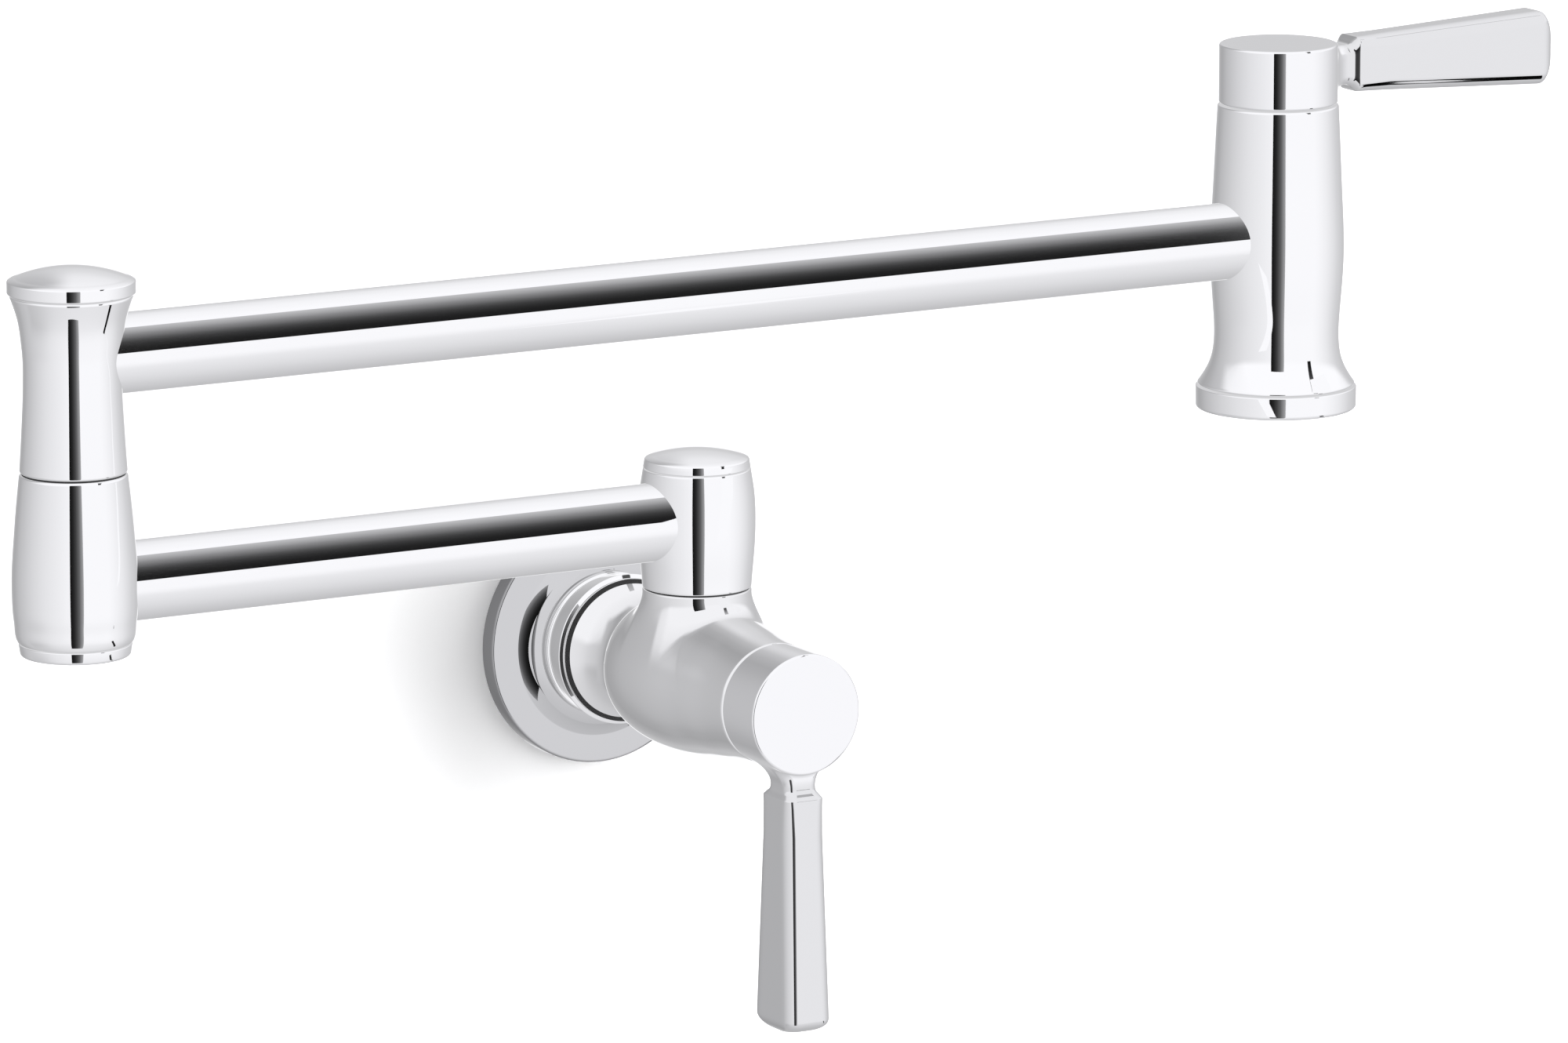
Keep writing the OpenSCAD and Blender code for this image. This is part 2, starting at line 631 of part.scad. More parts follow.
module tab(clear) {
    l = tab_l + 2 * clear;
    w = tab_w + 2 * clear;
    translate([-l / 2, -w / 2, stem_flange_z - tab_h - clear]) cube([l, w, tab_h + clear + over / 4]);
}
module moving_disc() {
    difference() {
        disc(moving_disc_z, moving_disc_t, 90);
        for (s = [-1, 1])
            translate([-disc_hole_r, s > 0 ? disc_hole_at : -disc_hole_at - disc_d, moving_disc_z - over])
                cube([2 * disc_hole_r, disc_d, moving_disc_t + 2 * over]);
        tab(tab_clear);
    }
}
module stem() {
    r = stem_d / 2;
    difference() {
        union() {
            translate([0, 0, stem_flange_z]) cylinder(r = stem_flange_r, h = stem_flange_t);
            translate([0, 0, stem_flange_z]) cylinder(r = r, h = spline_start - stem_flange_z);
            translate([0, 0, stem_flange_z]) cylinder(r = spline_r, h = spline_end - stem_flange_z);
            tab(0);
        }
        groove(r, stem_ring_d, stem_ring_at, stem_ring_d + 2 * stem_ring_side);
    }
}
module stem_o_ring() { torus(stem_d / 2 - stem_ring_d / 2, stem_ring_d, stem_ring_at); }
module bonnet_nut() {
    difference() {
        union() {
            translate([0, 0, -flange_front]) cylinder(r = cavity_d / 2 - seat_clear,
                h = flange_front + bonnet_thread_front);
            hex_prism(bonnet_hex_r, -flange_front, flange_front + bonnet_hex_front);
        }
        translate([0, 0, -flange_front - over]) cylinder(r = bonnet_bore_r, h = 2 * flange_front + over);
    }
}
module spline_insert() {
    ring(insert_r, spline_r + seat_clear, insert_start, insert_end - insert_start - gap);
}
function corner_rect(w, h, round) = let (r = min(round, corner_share * min(w, h)))
    [for (c = [[1, 1, 0], [-1, 1, 90], [-1, -1, 180], [1, -1, 270]], k = [0:arc_steps])
        let (a = c[2] + 90 * k / arc_steps)
        [c[0] * (w / 2 - r) + r * cos(a), c[1] * (h / 2 - r) + r * sin(a)]];
function end_station(a) = let (e = lever_end_round, side = 2 * e * (1 - cos(a)))
    [lever_reach - e * (1 - sin(a)), lever_w - side, lever_h - side, lever_lift];
lever_stations = concat(
    [for (s = root_shares) [s[0] * lever_root_reach, s[1] * lever_w, s[2] * lever_h, s[3] * lever_lift]],
    [for (k = [0:arc_steps]) end_station(90 * k / arc_steps)]);
module lever() {
    rings = [for (s = lever_stations) [for (p = corner_rect(s[1], s[2], lever_round))
        [s[0], p[0], lever_middle + s[3] + p[1]]]];
    n = len(rings[0]);
    m = len(rings);
    points = [for (r = rings) each r];
    sides = [for (j = [0:m - 2], i = [0:n - 1], f = [0, 1]) let (
            a = j * n + i, b = j * n + (i + 1) % n, c = a + n, d = b + n)
        f == 0 ? [a, c, b] : [b, c, d]];
    polyhedron(points, concat(sides, [[for (i = [0:n - 1]) i]], [[for (i = [0:n - 1]) m * n - 1 - i]]));
}
module handle() {
    r = handle_d / 2;
    difference() {
        union() {
            turned(rounded_disc(r, handle_seam, handle_top, edge_round), handle_seam, handle_top);
            lever();
        }
        translate([0, 0, handle_seam - over]) cylinder(r = recess_r, h = recess_l + over);
        cylinder(r = insert_r + seat_clear, h = insert_end);
        translate([0, insert_r, grub_z]) rotate([-90, 0, 0]) cylinder(d = grub_d + 2 * seat_clear, h = r);
    }
}
module handle_screw() {
    translate([0, insert_r + gap, grub_z]) rotate([-90, 0, 0])
        socket_screw(grub_d, grub_l, grub_socket_d, grub_socket_l);
}

module wall_cartridge() { color("goldenrod") at_wall_valve() cartridge(); }
module wall_fixed_disc() { color("white") at_wall_valve() fixed_disc(); }
module wall_seat_seal() { color("dimgray") at_wall_valve() seat_seal(); }
module wall_bonnet_nut() { color("goldenrod") at_wall_valve() bonnet_nut(); }
module wall_stem() { color("goldenrod") at_wall_valve() stem(); }
module wall_stem_o_ring() { color("dimgray") at_wall_valve() stem_o_ring(); }
module wall_moving_disc() { color("white") at_wall_valve() moving_disc(); }
module wall_spline_insert() { color("ivory") at_wall_valve() spline_insert(); }
module wall_handle() { color("gainsboro") at_wall_valve() handle(); }
module wall_handle_screw() { color("dimgray") at_wall_valve() handle_screw(); }
module spout_cartridge() { color("goldenrod") at_spout_valve() cartridge(); }
module spout_fixed_disc() { color("white") at_spout_valve() fixed_disc(); }
module spout_seat_seal() { color("dimgray") at_spout_valve() seat_seal(); }
module spout_bonnet_nut() { color("goldenrod") at_spout_valve() bonnet_nut(); }
module spout_stem() { color("goldenrod") at_spout_valve() stem(); }
module spout_stem_o_ring() { color("dimgray") at_spout_valve() stem_o_ring(); }
module spout_moving_disc() { color("white") at_spout_valve() moving_disc(); }
module spout_spline_insert() { color("ivory") at_spout_valve() spline_insert(); }
module spout_handle() { color("gainsboro") at_spout_valve() handle(); }
module spout_handle_screw() { color("dimgray") at_spout_valve() handle_screw(); }

// Swivel pieces that both joints share, with z0 at the bottom of the barrel that turns
module post(foot, z0, land, rings, bore_top, ports) {
    thread_top = z0 + land + gap + nut_head;
    difference() {
        union() {
            translate([0, 0, foot]) cylinder(r = post_r, h = z0 + land - foot);
            translate([0, 0, foot]) cylinder(r = post_thread_r, h = thread_top - foot);
        }
        translate([0, 0, foot - over]) cylinder(d = post_bore_d, h = bore_top - foot + over);
        for (h = rings) groove(post_r, o_ring_d, z0 + h, groove_w);
        if (len(ports) > 0) {
            groove(post_r, post_r - waist_r, z0 + (ports[0] + ports[1]) / 2, ports[1] - ports[0]);
            for (i = [0:port_count - 1])
                rotate([0, 0, 45 + i * 360 / port_count]) translate([0, 0, z0 + (ports[0] + ports[1]) / 2])
                    rotate([0, 90, 0]) cylinder(r = port_r, h = post_d);
        }
    }
}
module nut_washer(z0, land) {
    ring(nut_corner_r, post_thread_r + seat_clear, z0 + land + gap, nut_washer_t);
}
module nut(z0, land) {
    difference() {
        hex_prism(nut_corner_r, z0 + land + gap + nut_washer_t, nut_t);
        translate([0, 0, z0]) cylinder(r = post_thread_r + seat_clear, h = 2 * land);
    }
}
module thrust_washer(z, r) {
    ring(r - washer_margin, bore_r + gap, z, washer_t);
}

module hub_post() {
    color("goldenrod") at_hub() post(post_foot, hub_z, hub_land_end, hub_o_ring_at, hub_z + hub_chamber_high,
        [hub_chamber_low, hub_chamber_high]);
}
module hub_post_o_rings() {
    color("dimgray") at_hub() for (h = hub_o_ring_at) torus(o_ring_r, o_ring_d, hub_z + h);
}
module hub_thrust_washer() {
    color("dimgray") at_hub() thrust_washer(boss_top, hub_shares[0][1] * hub_d / 2);
}
module hub_nut_washer() { color("ivory") at_hub() nut_washer(hub_z, hub_land_end); }
module hub_nut() { color("goldenrod") at_hub() nut(hub_z, hub_land_end); }

module tube_cut(seat, z, side) {
    translate([side * seat, 0, z]) rotate([0, side * 90, 0]) cylinder(r = tube_r + seat_clear, h = hub_d);
}
module port_cut(r, z, side) {
    translate([0, 0, z]) rotate([0, side * 90, 0]) cylinder(r = r, h = hub_d / 2);
}
module hub_barrel() {
    seat = tube_seat(hub_d);
    color("silver") at_hub() difference() {
        turned(scaled(hub_shares, hub_z, hub_h, hub_d / 2), hub_z, hub_top);
        translate([0, 0, hub_z - over]) cylinder(r = bore_r, h = hub_h);
        translate([0, 0, hub_z + hub_chamber_low])
            cylinder(r = hub_chamber_r, h = hub_chamber_high - hub_chamber_low);
        translate([0, 0, hub_z + hub_land_end]) cylinder(r = nut_room_r, h = hub_h);
        tube_cut(seat, lower_z, -1);
        port_cut(hub_port_r, lower_z, -1);
    }
}
function dome(r, z, h, n) = let (big = (r * r + h * h) / (2 * h), a = asin(r / big))
    [for (k = [0:n - 1]) [big * sin(a * (n - k) / n), z + h - big * (1 - cos(a * (n - k) / n))]];
module hub_cap() {
    z = hub_top + seam;
    r = hub_shares[8][1] * hub_d / 2 + edge_round / 4;
    side_h = hub_cap_h * cap_side_share;
    top_r = r * cap_top_share;
    color("silver") at_hub() {
        rotate_extrude() polygon(concat(
            [[0, z], [r - edge_round / 2, z], [r, z + edge_round / 2], [top_r, z + side_h]],
            dome(top_r - edge_round / 2, z + side_h + edge_round / 4, hub_cap_h - side_h - edge_round / 4, 8),
            [[0, z + hub_cap_h]]));
        translate([0, 0, z - hub_spigot_h])
            cylinder(r = nut_room_r - seat_clear, h = hub_spigot_h + over / 2);
    }
}
module lower_tube() {
    start = -lower_reach + tube_seat(elbow_low_d);
    color("silver") translate([start, -arm_offset, lower_z]) rotate([0, 90, 0])
        ring(tube_r, tube_bore_r, 0, -tube_seat(hub_d) - start);
}
module lower_elbow() {
    color("silver") at_elbow() difference() {
        turned(scaled(elbow_low_shares, elbow_low_z, elbow_low_h, elbow_low_d / 2),
            elbow_low_z, elbow_low_top);
        translate([0, 0, elbow_low_z - over]) cylinder(r = post_r + seat_clear, h = elbow_low_h + 2 * over);
        tube_cut(tube_seat(elbow_low_d), lower_z, 1);
        port_cut(elbow_port_r, lower_z, 1);
    }
}
module elbow_bottom_cap() {
    r = elbow_low_shares[0][1] * elbow_low_d / 2;
    z = elbow_low_z - seam;
    color("silver") at_elbow() {
        rotate_extrude() polygon(concat([[0, z - elbow_foot_h]],
            arc(r * elbow_foot_share - edge_round, z - elbow_foot_h + edge_round, edge_round, -90, 0,
                arc_steps),
            [[r, z - edge_round / 2], [r - edge_round / 2, z], [0, z]]));
        translate([0, 0, z - over / 2]) cylinder(r = post_r, h = elbow_plug_h + over / 2);
    }
}
module elbow_post() {
    color("goldenrod") at_elbow() post(elbow_low_z + elbow_post_foot, elbow_up_z, elbow_land_end,
        elbow_o_ring_at,
        upper_z, []);
}
module elbow_post_o_rings() {
    color("dimgray") at_elbow() for (h = elbow_o_ring_at) torus(o_ring_r, o_ring_d, elbow_up_z + h);
}
module elbow_thrust_washer() {
    color("dimgray") at_elbow() thrust_washer(elbow_low_top, elbow_up_shares[0][1] * elbow_rim_d / 2);
}
module elbow_nut_washer() { color("ivory") at_elbow() nut_washer(elbow_up_z, elbow_land_end); }
module elbow_nut() { color("goldenrod") at_elbow() nut(elbow_up_z, elbow_land_end); }

module upper_elbow() {
    color("silver") at_elbow() difference() {
        turned(scaled(elbow_up_shares, elbow_up_z, elbow_up_h, elbow_rim_d / 2), elbow_up_z, elbow_up_top);
        translate([0, 0, elbow_up_z - over]) cylinder(r = bore_r, h = elbow_up_h);
        translate([0, 0, elbow_up_z + elbow_land_end]) cylinder(r = nut_room_r, h = elbow_up_h);
        tube_cut(0, upper_z, 1);
    }
}
module elbow_top_cap() {
    z = elbow_up_top + seam;
    r = elbow_rim_d / 2;
    color("silver") at_elbow() {
        rotate_extrude() polygon(concat([[0, z], [r - edge_round / 2, z], [r, z + edge_round / 2],
            [r, z + elbow_rim_h - edge_round / 2]],
            dome(r - edge_round / 2, z + elbow_rim_h, elbow_dome_h, 10),
            [[0, z + elbow_rim_h + elbow_dome_h]]));
        translate([0, 0, z - elbow_cap_plug_h])
            cylinder(r = nut_room_r - seat_clear, h = elbow_cap_plug_h + over);
    }
}
module upper_tube() {
    color("silver") difference() {
        translate([-lower_reach, -arm_offset, upper_z]) rotate([0, 90, 0])
            ring(tube_r, tube_bore_r, 0, upper_reach - tube_seat(spout_waist_d));
        at_elbow() translate([0, 0, upper_z - tube_d]) cylinder(r = nut_room_r + seat_clear, h = 2 * tube_d);
    }
}
module spout_body() {
    seat = spout_top - cavity_l;
    spigot_foot = spout_z - ring_gap - ring_h + foot_spigot_short;
    aerator_top = aerator_z + aerator_h;
    color("silver") at_spout() difference() {
        union() {
            turned(scaled(spout_shares, spout_z, spout_h, spout_foot_d / 2), spout_z, spout_top);
            translate([0, 0, spigot_foot]) cylinder(r = foot_spigot_r, h = spout_z - spigot_foot + over);
        }
        translate([0, 0, seat]) cylinder(d = cavity_d, h = cavity_l + over);
        translate([0, 0, seat - seat_t - over]) cylinder(r = seat_hole_r, h = seat_t + 2 * over);
        translate([0, 0, spigot_foot]) cylinder(r = outlet_bore_r, h = seat - seat_t - spigot_foot);
        translate([0, 0, spigot_foot - over]) cylinder(d = outlet_thread_d + 2 * seat_clear,
            h = aerator_top + aerator_washer_t - spigot_foot + over);
        tube_cut(tube_seat(spout_waist_d), upper_z, -1);
        port_cut(spout_port_r, upper_z + spout_port_rise, -1);
    }
}
module outlet_ring() {
    z1 = spout_z - ring_gap;
    z0 = z1 - ring_h;
    color("silver") at_spout() rotate_extrude() polygon(concat([[foot_spigot_r + seat_clear, z0]],
        rounded_disc(ring_d / 2, z0, z1, edge_round), [[foot_spigot_r + seat_clear, z1]]));
}
module aerator_housing() {
    r = outlet_thread_d / 2;
    color("silver") at_spout() difference() {
        ring(r, r - aerator_wall - aerator_lip, aerator_z, aerator_h);
        translate([0, 0, aerator_z + aerator_lip]) cylinder(r = r - aerator_wall, h = aerator_h);
    }
}
module aerator_insert() {
    r = outlet_thread_d / 2 - aerator_wall - seat_clear;
    z = aerator_z + aerator_lip;
    color("white") at_spout() difference() {
        translate([0, 0, z]) cylinder(r = r, h = aerator_h - aerator_lip);
        translate([0, 0, z + mesh_t]) cylinder(r = r - aerator_wall / 2, h = aerator_h);
        for (k = [0:mesh_rings], i = [0:max(0, 6 * k - 1)])
            rotate([0, 0, i * 60 / max(1, k)]) translate([k * mesh_step, 0, z - over])
                cylinder(r = mesh_hole_r, h = mesh_t + 2 * over, $fn = 16);
    }
}
module aerator_washer() {
    r = outlet_thread_d / 2;
    color("dimgray") at_spout() ring(r, r - 2 * aerator_wall, aerator_z + aerator_h, aerator_washer_t);
}

mounting_plate();
wall_screws();
inlet_adapter();
adapter_o_rings();
escutcheon();
escutcheon_gasket();
collar_ring();
collar_seal();
wall_body();
body_set_screw();
wall_cartridge();
wall_fixed_disc();
wall_seat_seal();
wall_bonnet_nut();
hub_post();
hub_post_o_rings();
hub_thrust_washer();
hub_nut_washer();
hub_nut();
wall_stem();
wall_stem_o_ring();
wall_moving_disc();
wall_spline_insert();
wall_handle();
wall_handle_screw();
hub_barrel();
hub_cap();
lower_tube();
lower_elbow();
elbow_bottom_cap();
elbow_post();
elbow_post_o_rings();
elbow_thrust_washer();
elbow_nut_washer();
elbow_nut();
upper_elbow();
elbow_top_cap();
upper_tube();
spout_body();
outlet_ring();
aerator_housing();
aerator_insert();
aerator_washer();
spout_cartridge();
spout_fixed_disc();
spout_seat_seal();
spout_bonnet_nut();
spout_stem();
spout_stem_o_ring();
spout_moving_disc();
spout_spline_insert();
spout_handle();
spout_handle_screw();
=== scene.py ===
import json
import math

import bmesh
import bpy
import numpy as np
from mathutils import Matrix, Vector

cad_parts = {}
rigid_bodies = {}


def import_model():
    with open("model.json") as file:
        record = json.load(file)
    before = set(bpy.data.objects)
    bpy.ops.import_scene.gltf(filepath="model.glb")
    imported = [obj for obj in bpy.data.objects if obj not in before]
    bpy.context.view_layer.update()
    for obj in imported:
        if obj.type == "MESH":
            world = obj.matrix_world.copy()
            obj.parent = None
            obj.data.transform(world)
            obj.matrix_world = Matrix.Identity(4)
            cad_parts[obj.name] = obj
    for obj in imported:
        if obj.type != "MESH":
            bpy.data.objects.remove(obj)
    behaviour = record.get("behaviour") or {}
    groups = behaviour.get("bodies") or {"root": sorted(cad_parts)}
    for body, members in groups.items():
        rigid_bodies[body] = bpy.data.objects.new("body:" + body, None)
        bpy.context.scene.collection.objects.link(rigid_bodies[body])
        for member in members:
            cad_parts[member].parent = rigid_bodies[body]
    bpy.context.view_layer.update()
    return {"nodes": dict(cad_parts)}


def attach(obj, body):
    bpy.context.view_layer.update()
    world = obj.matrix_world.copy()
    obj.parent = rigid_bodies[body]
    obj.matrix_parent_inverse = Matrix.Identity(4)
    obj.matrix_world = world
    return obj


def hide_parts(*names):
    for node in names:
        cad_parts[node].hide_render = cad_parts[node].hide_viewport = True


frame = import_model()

nodes = frame["nodes"]


# ---- Wall bracket ----
# A round plate of zinc plated steel, two millimetres thick, that lies flat on the wall.
# It is screwed down first, and everything else hangs on the adapter that it holds.

class Wire:
    """A socket of a node tree. Sums and products add Math nodes, add() adds any other node."""

    def __init__(self, tree, socket=None):
        self.tree = tree
        self.socket = socket

    def add(self, kind, settings=None, sockets=None, out=0):
        node = self.tree.nodes.new(kind)
        for name, value in (settings or {}).items():
            if name == "stops":
                ramp = node.color_ramp
                while len(ramp.elements) < len(value):
                    ramp.elements.new(1.0)
                for stop, (place, colour) in zip(ramp.elements, value):
                    stop.position = place
                    stop.color = (*colour, 1.0)
            else:
                setattr(node, name, value)
        for name, value in (sockets or {}).items():
            for one in value if isinstance(value, list) else [value]:
                if isinstance(one, Wire):
                    self.tree.links.new(one.socket, node.inputs[name])
                else:
                    node.inputs[name].default_value = one
        return Wire(self.tree, node.outputs[out] if len(node.outputs) else None)

    def maths(self, operation, *values):
        return self.add("ShaderNodeMath", {"operation": operation}, dict(enumerate(values)))

    def of(self, operation, *others):
        """A Math node on this value first, as in angle.of("SINE")."""
        return self.maths(operation, self, *others)

    def __add__(self, other):
        return self.maths("ADD", self, other)

    def __radd__(self, other):
        return self.maths("ADD", other, self)

    def __sub__(self, other):
        return self.maths("SUBTRACT", self, other)

    def __rsub__(self, other):
        return self.maths("SUBTRACT", other, self)

    def __mul__(self, other):
        return self.maths("MULTIPLY", self, other)

    def __rmul__(self, other):
        return self.maths("MULTIPLY", other, self)

    def __truediv__(self, other):
        return self.maths("DIVIDE", self, other)

    def __rtruediv__(self, other):
        return self.maths("DIVIDE", other, self)

    def step(self, low, high):
        """0 below low and 1 above high, with a soft passage."""
        kind = {"interpolation_type": "SMOOTHSTEP"}
        return self.add("ShaderNodeMapRange", kind, {"Value": self, "From Min": low, "From Max": high})

    def parts(self):
        node = self.add("ShaderNodeSeparateXYZ", None, {0: self}).socket.node
        return [Wire(self.tree, socket) for socket in node.outputs]


def blank(name):
    material = bpy.data.materials.new(name)
    material.use_nodes = True
    material.node_tree.nodes.clear()
    return material, Wire(material.node_tree)


def noise(wire, place, scale, detail=3.0):
    return wire.add("ShaderNodeTexNoise", None, {"Vector": place, "Scale": scale, "Detail": detail}, "Fac")


def mixed(wire, factor, low, high):
    """A colour between two, by a factor. Either may be a wire."""
    low, high = [one if isinstance(one, Wire) else (*one, 1.0) for one in (low, high)]
    return wire.add("ShaderNodeMix", {"data_type": "RGBA"}, {"Factor": factor, 6: low, 7: high}, 2)


def bump(wire, height, depth):
    return wire.add("ShaderNodeBump", None, {"Height": height, "Distance": depth, "Strength": 1.0})


def surface(material, wire, **sockets):
    names = {name.replace("_", " "): value for name, value in sockets.items()}
    shader = wire.add("ShaderNodeBsdfPrincipled", None, names)
    wire.add("ShaderNodeOutputMaterial", None, {"Surface": shader})
    return material


zinc, wire = blank("zinc_plated_steel")
place = wire.add("ShaderNodeTexCoord", out="Object")
spangle = noise(wire, place, 420.0)
stain = noise(wire, place, 60.0)
zinc = surface(
    zinc, wire,
    Base_Color=mixed(wire, stain, (0.50, 0.51, 0.53), (0.66, 0.66, 0.65)),
    Metallic=1.0,
    Roughness=0.26 + 0.22 * spangle,
    Normal=bump(wire, spangle, 0.00002),
)


def dress(node, material):
    """Gives a carried over node its finish."""
    slots = nodes[node].data.materials
    slots.clear()
    slots.append(material)


dress("mounting_plate", zinc)


# ---- Wall screws ----
# Three steel pan head screws with a cross recess, on one circle through the bracket. Their
# threaded ends go into wall anchors. One screw is drawn and repeated round the circle.

class Skin:
    """A mesh gathered from closed loops of points, in millimetres."""

    def __init__(self):
        self.points = []
        self.faces = []

    def loop(self, points):
        start = len(self.points)
        self.points.extend(tuple(p) for p in points)
        return list(range(start, len(self.points)))

    def band(self, low, high, skip=()):
        count = len(low)
        for i in range(count):
            if i not in skip:
                k = (i + 1) % count
                self.faces.append((low[i], low[k], high[k], high[i]))

    def grow(self, before, points):
        """Adds a loop, joins it to the one before, and gives it."""
        loop = self.loop(points)
        self.band(before, loop)
        return loop

    def close(self, loop, point):
        centre = self.loop([point])[0]
        for i in range(len(loop)):
            self.faces.append((loop[i], loop[(i + 1) % len(loop)], centre))

    def piece(self, name, material, sharp=32):
        mesh = bpy.data.meshes.new(name)
        mesh.from_pydata([tuple(c * 0.001 for c in p) for p in self.points], [], self.faces)
        return settle(bpy.data.objects.new(name, mesh), material, sharp)


def settle(piece, material, sharp=32):
    """Merges doubles, turns the faces outwards, and keeps edges over the angle sharp."""
    mesh = piece.data
    bm = bmesh.new()
    bm.from_mesh(mesh)
    bmesh.ops.remove_doubles(bm, verts=bm.verts, dist=0.0000004)
    bmesh.ops.recalc_face_normals(bm, faces=bm.faces)
    bm.to_mesh(mesh)
    bm.free()
    mesh.shade_smooth()
    mesh.set_sharp_from_angle(angle=math.radians(sharp))
    mesh.materials.clear()
    mesh.materials.append(material)
    if piece.name not in bpy.context.scene.collection.objects:
        bpy.context.scene.collection.objects.link(piece)
    return piece


def on_inlet(r, t, angle):
    """A point round the inlet axis, t out from the wall."""
    return r * math.cos(angle), -t, r * math.sin(angle)


def rounded(corners, steps=5):
    """An outline whose corners (x, y, radius) are broken; two numbers alone stay sharp."""
    out = []
    for i, corner in enumerate(corners):
        here = np.array(corner[:2], float)
        if len(corner) < 3:
            out.append(tuple(here))
            continue
        before = np.array(corners[i - 1][:2], float) - here
        after = np.array(corners[(i + 1) % len(corners)][:2], float) - here
        sides = np.linalg.norm(before), np.linalg.norm(after)
        before, after = before / sides[0], after / sides[1]
        half = math.acos(max(-1.0, min(1.0, float(before @ after)))) / 2
        cut = min(corner[2] / math.tan(half), 0.49 * min(sides))
        for k in range(steps + 1):
            u = k / steps
            weight = 2 * u * (1 - u) * math.sin(half)
            total = (1 - u) ** 2 + u * u + weight
            spot = (1 - u) ** 2 * (here + cut * before) + weight * here + u * u * (here + cut * after)
            out.append(tuple(spot / total))
    return out


def ring_of(r, h, turns):
    """A circle about the Z axis, or a star where r is a list."""
    radii = r if isinstance(r, list) else [r] * len(turns)
    return [(one * math.cos(a), one * math.sin(a), h) for one, a in zip(radii, turns)]


def lathe(name, outline, spot, material, segments):
    """A closed outline of (radius, height) turned about an axis; spot() places each point."""
    skin = Skin()
    turns = [2 * math.pi * i / segments for i in range(segments)]
    loops = [skin.loop([spot(max(r, 0.0), h, a) for a in turns]) for r, h in outline]
    for low, high in zip(loops, loops[1:] + loops[:1]):
        skin.band(low, high)
    return skin.piece(name, material)


def nodes_tree(name, inputs):
    """A Geometry Nodes tree with these named sizes. Gives the tree, its first wire and its inputs."""
    tree = bpy.data.node_groups.new(name, "GeometryNodeTree")
    for size in inputs:
        tree.interface.new_socket(size, in_out="INPUT", socket_type="NodeSocketFloat")
    tree.interface.new_socket("Geometry", in_out="OUTPUT", socket_type="NodeSocketGeometry")
    wire = Wire(tree)
    sizes = wire.add("NodeGroupInput").socket.node
    return tree, wire, {size: Wire(tree, sizes.outputs[size]) for size in inputs}


def tree_end(wire, geometry, material):
    """Ends a tree: real meshes instead of instances, with their material."""
    geometry = wire.add("GeometryNodeRealizeInstances", None, {"Geometry": geometry})
    geometry = wire.add("GeometryNodeSetMaterial", None, {"Geometry": geometry, "Material": material})
    wire.add("NodeGroupOutput", None, {"Geometry": geometry})


def grown(name, tree, sizes, material, sharp=32):
    """Runs a tree with these sizes and keeps its result as a plain mesh."""
    host = bpy.data.objects.new(name + "_host", bpy.data.meshes.new(name + "_host"))
    bpy.context.scene.collection.objects.link(host)
    modifier = host.modifiers.new("build", "NODES")
    modifier.node_group = tree
    for socket in tree.interface.items_tree:
        if socket.in_out == "INPUT":
            modifier[socket.identifier] = float(sizes[socket.name])
    graph = bpy.context.evaluated_depsgraph_get()
    mesh = bpy.data.meshes.new_from_object(host.evaluated_get(graph), depsgraph=graph)
    bpy.data.objects.remove(host)
    mesh.name = name
    return settle(bpy.data.objects.new(name, mesh), material, sharp)


def finish(name, low, high, scale, rough, spread, relief, metal=0.0):
    """A surface whose colour, roughness and fine relief follow one noise."""
    material, wire = blank(name)
    fleck = noise(wire, wire.add("ShaderNodeTexCoord", out="Object"), scale)
    return surface(
        material, wire,
        Base_Color=mixed(wire, fleck, low, high),
        Metallic=metal,
        Roughness=rough + spread * fleck,
        Normal=bump(wire, fleck, relief),
    )


screw_steel = finish(
    "screw_steel", (0.46, 0.46, 0.47), (0.62, 0.61, 0.60),
    scale=700.0, rough=0.24, spread=0.24, relief=0.00001, metal=1.0)


def screw_skin():
    """One wall screw along +Z, its head's seat at zero."""
    skin = Skin()
    count, pitch, crest, core = 24, 1.8, 2.1, 1.785
    tip, shank = -24.0, -3.2
    turns = [2 * math.pi * i / count for i in range(count)]
    rows = []
    for height in np.arange(tip + 1.4, shank, pitch / 8):
        fade = min(1.0, (height - tip) / 4.2, (shank - height) / 1.2)
        radii = []
        for a in turns:
            wave = (height / pitch - a / (2 * math.pi)) % 1.0
            tooth = (crest - core) * max(0.0, 1 - abs(wave - 0.5) * 3.2) * max(0.0, fade)
            radii.append(core * min(1.0, (height - tip + 0.2) / 4.4) + tooth)
        rows.append(skin.loop(ring_of(radii, height, turns)))
    head = [
        (core, shank), (crest, -2.95), (crest, 0.0), (3.4, 0.0), (3.4, 0.45), (3.0, 0.95), (2.2, 1.22),
        (1.3, 1.3)]
    recess = [1.25 if i % 6 in (0, 5, 1) else 0.5 for i in range(count)]
    head += [(recess, 1.28), ([0.6 * r for r in recess], 0.35)]
    rows += [skin.loop(ring_of(r, h, turns)) for r, h in head]
    for low, high in zip(rows, rows[1:]):
        skin.band(low, high)
    skin.close(rows[0], (0, 0, tip))
    skin.close(rows[-1], (0, 0, 0.2))
    return skin


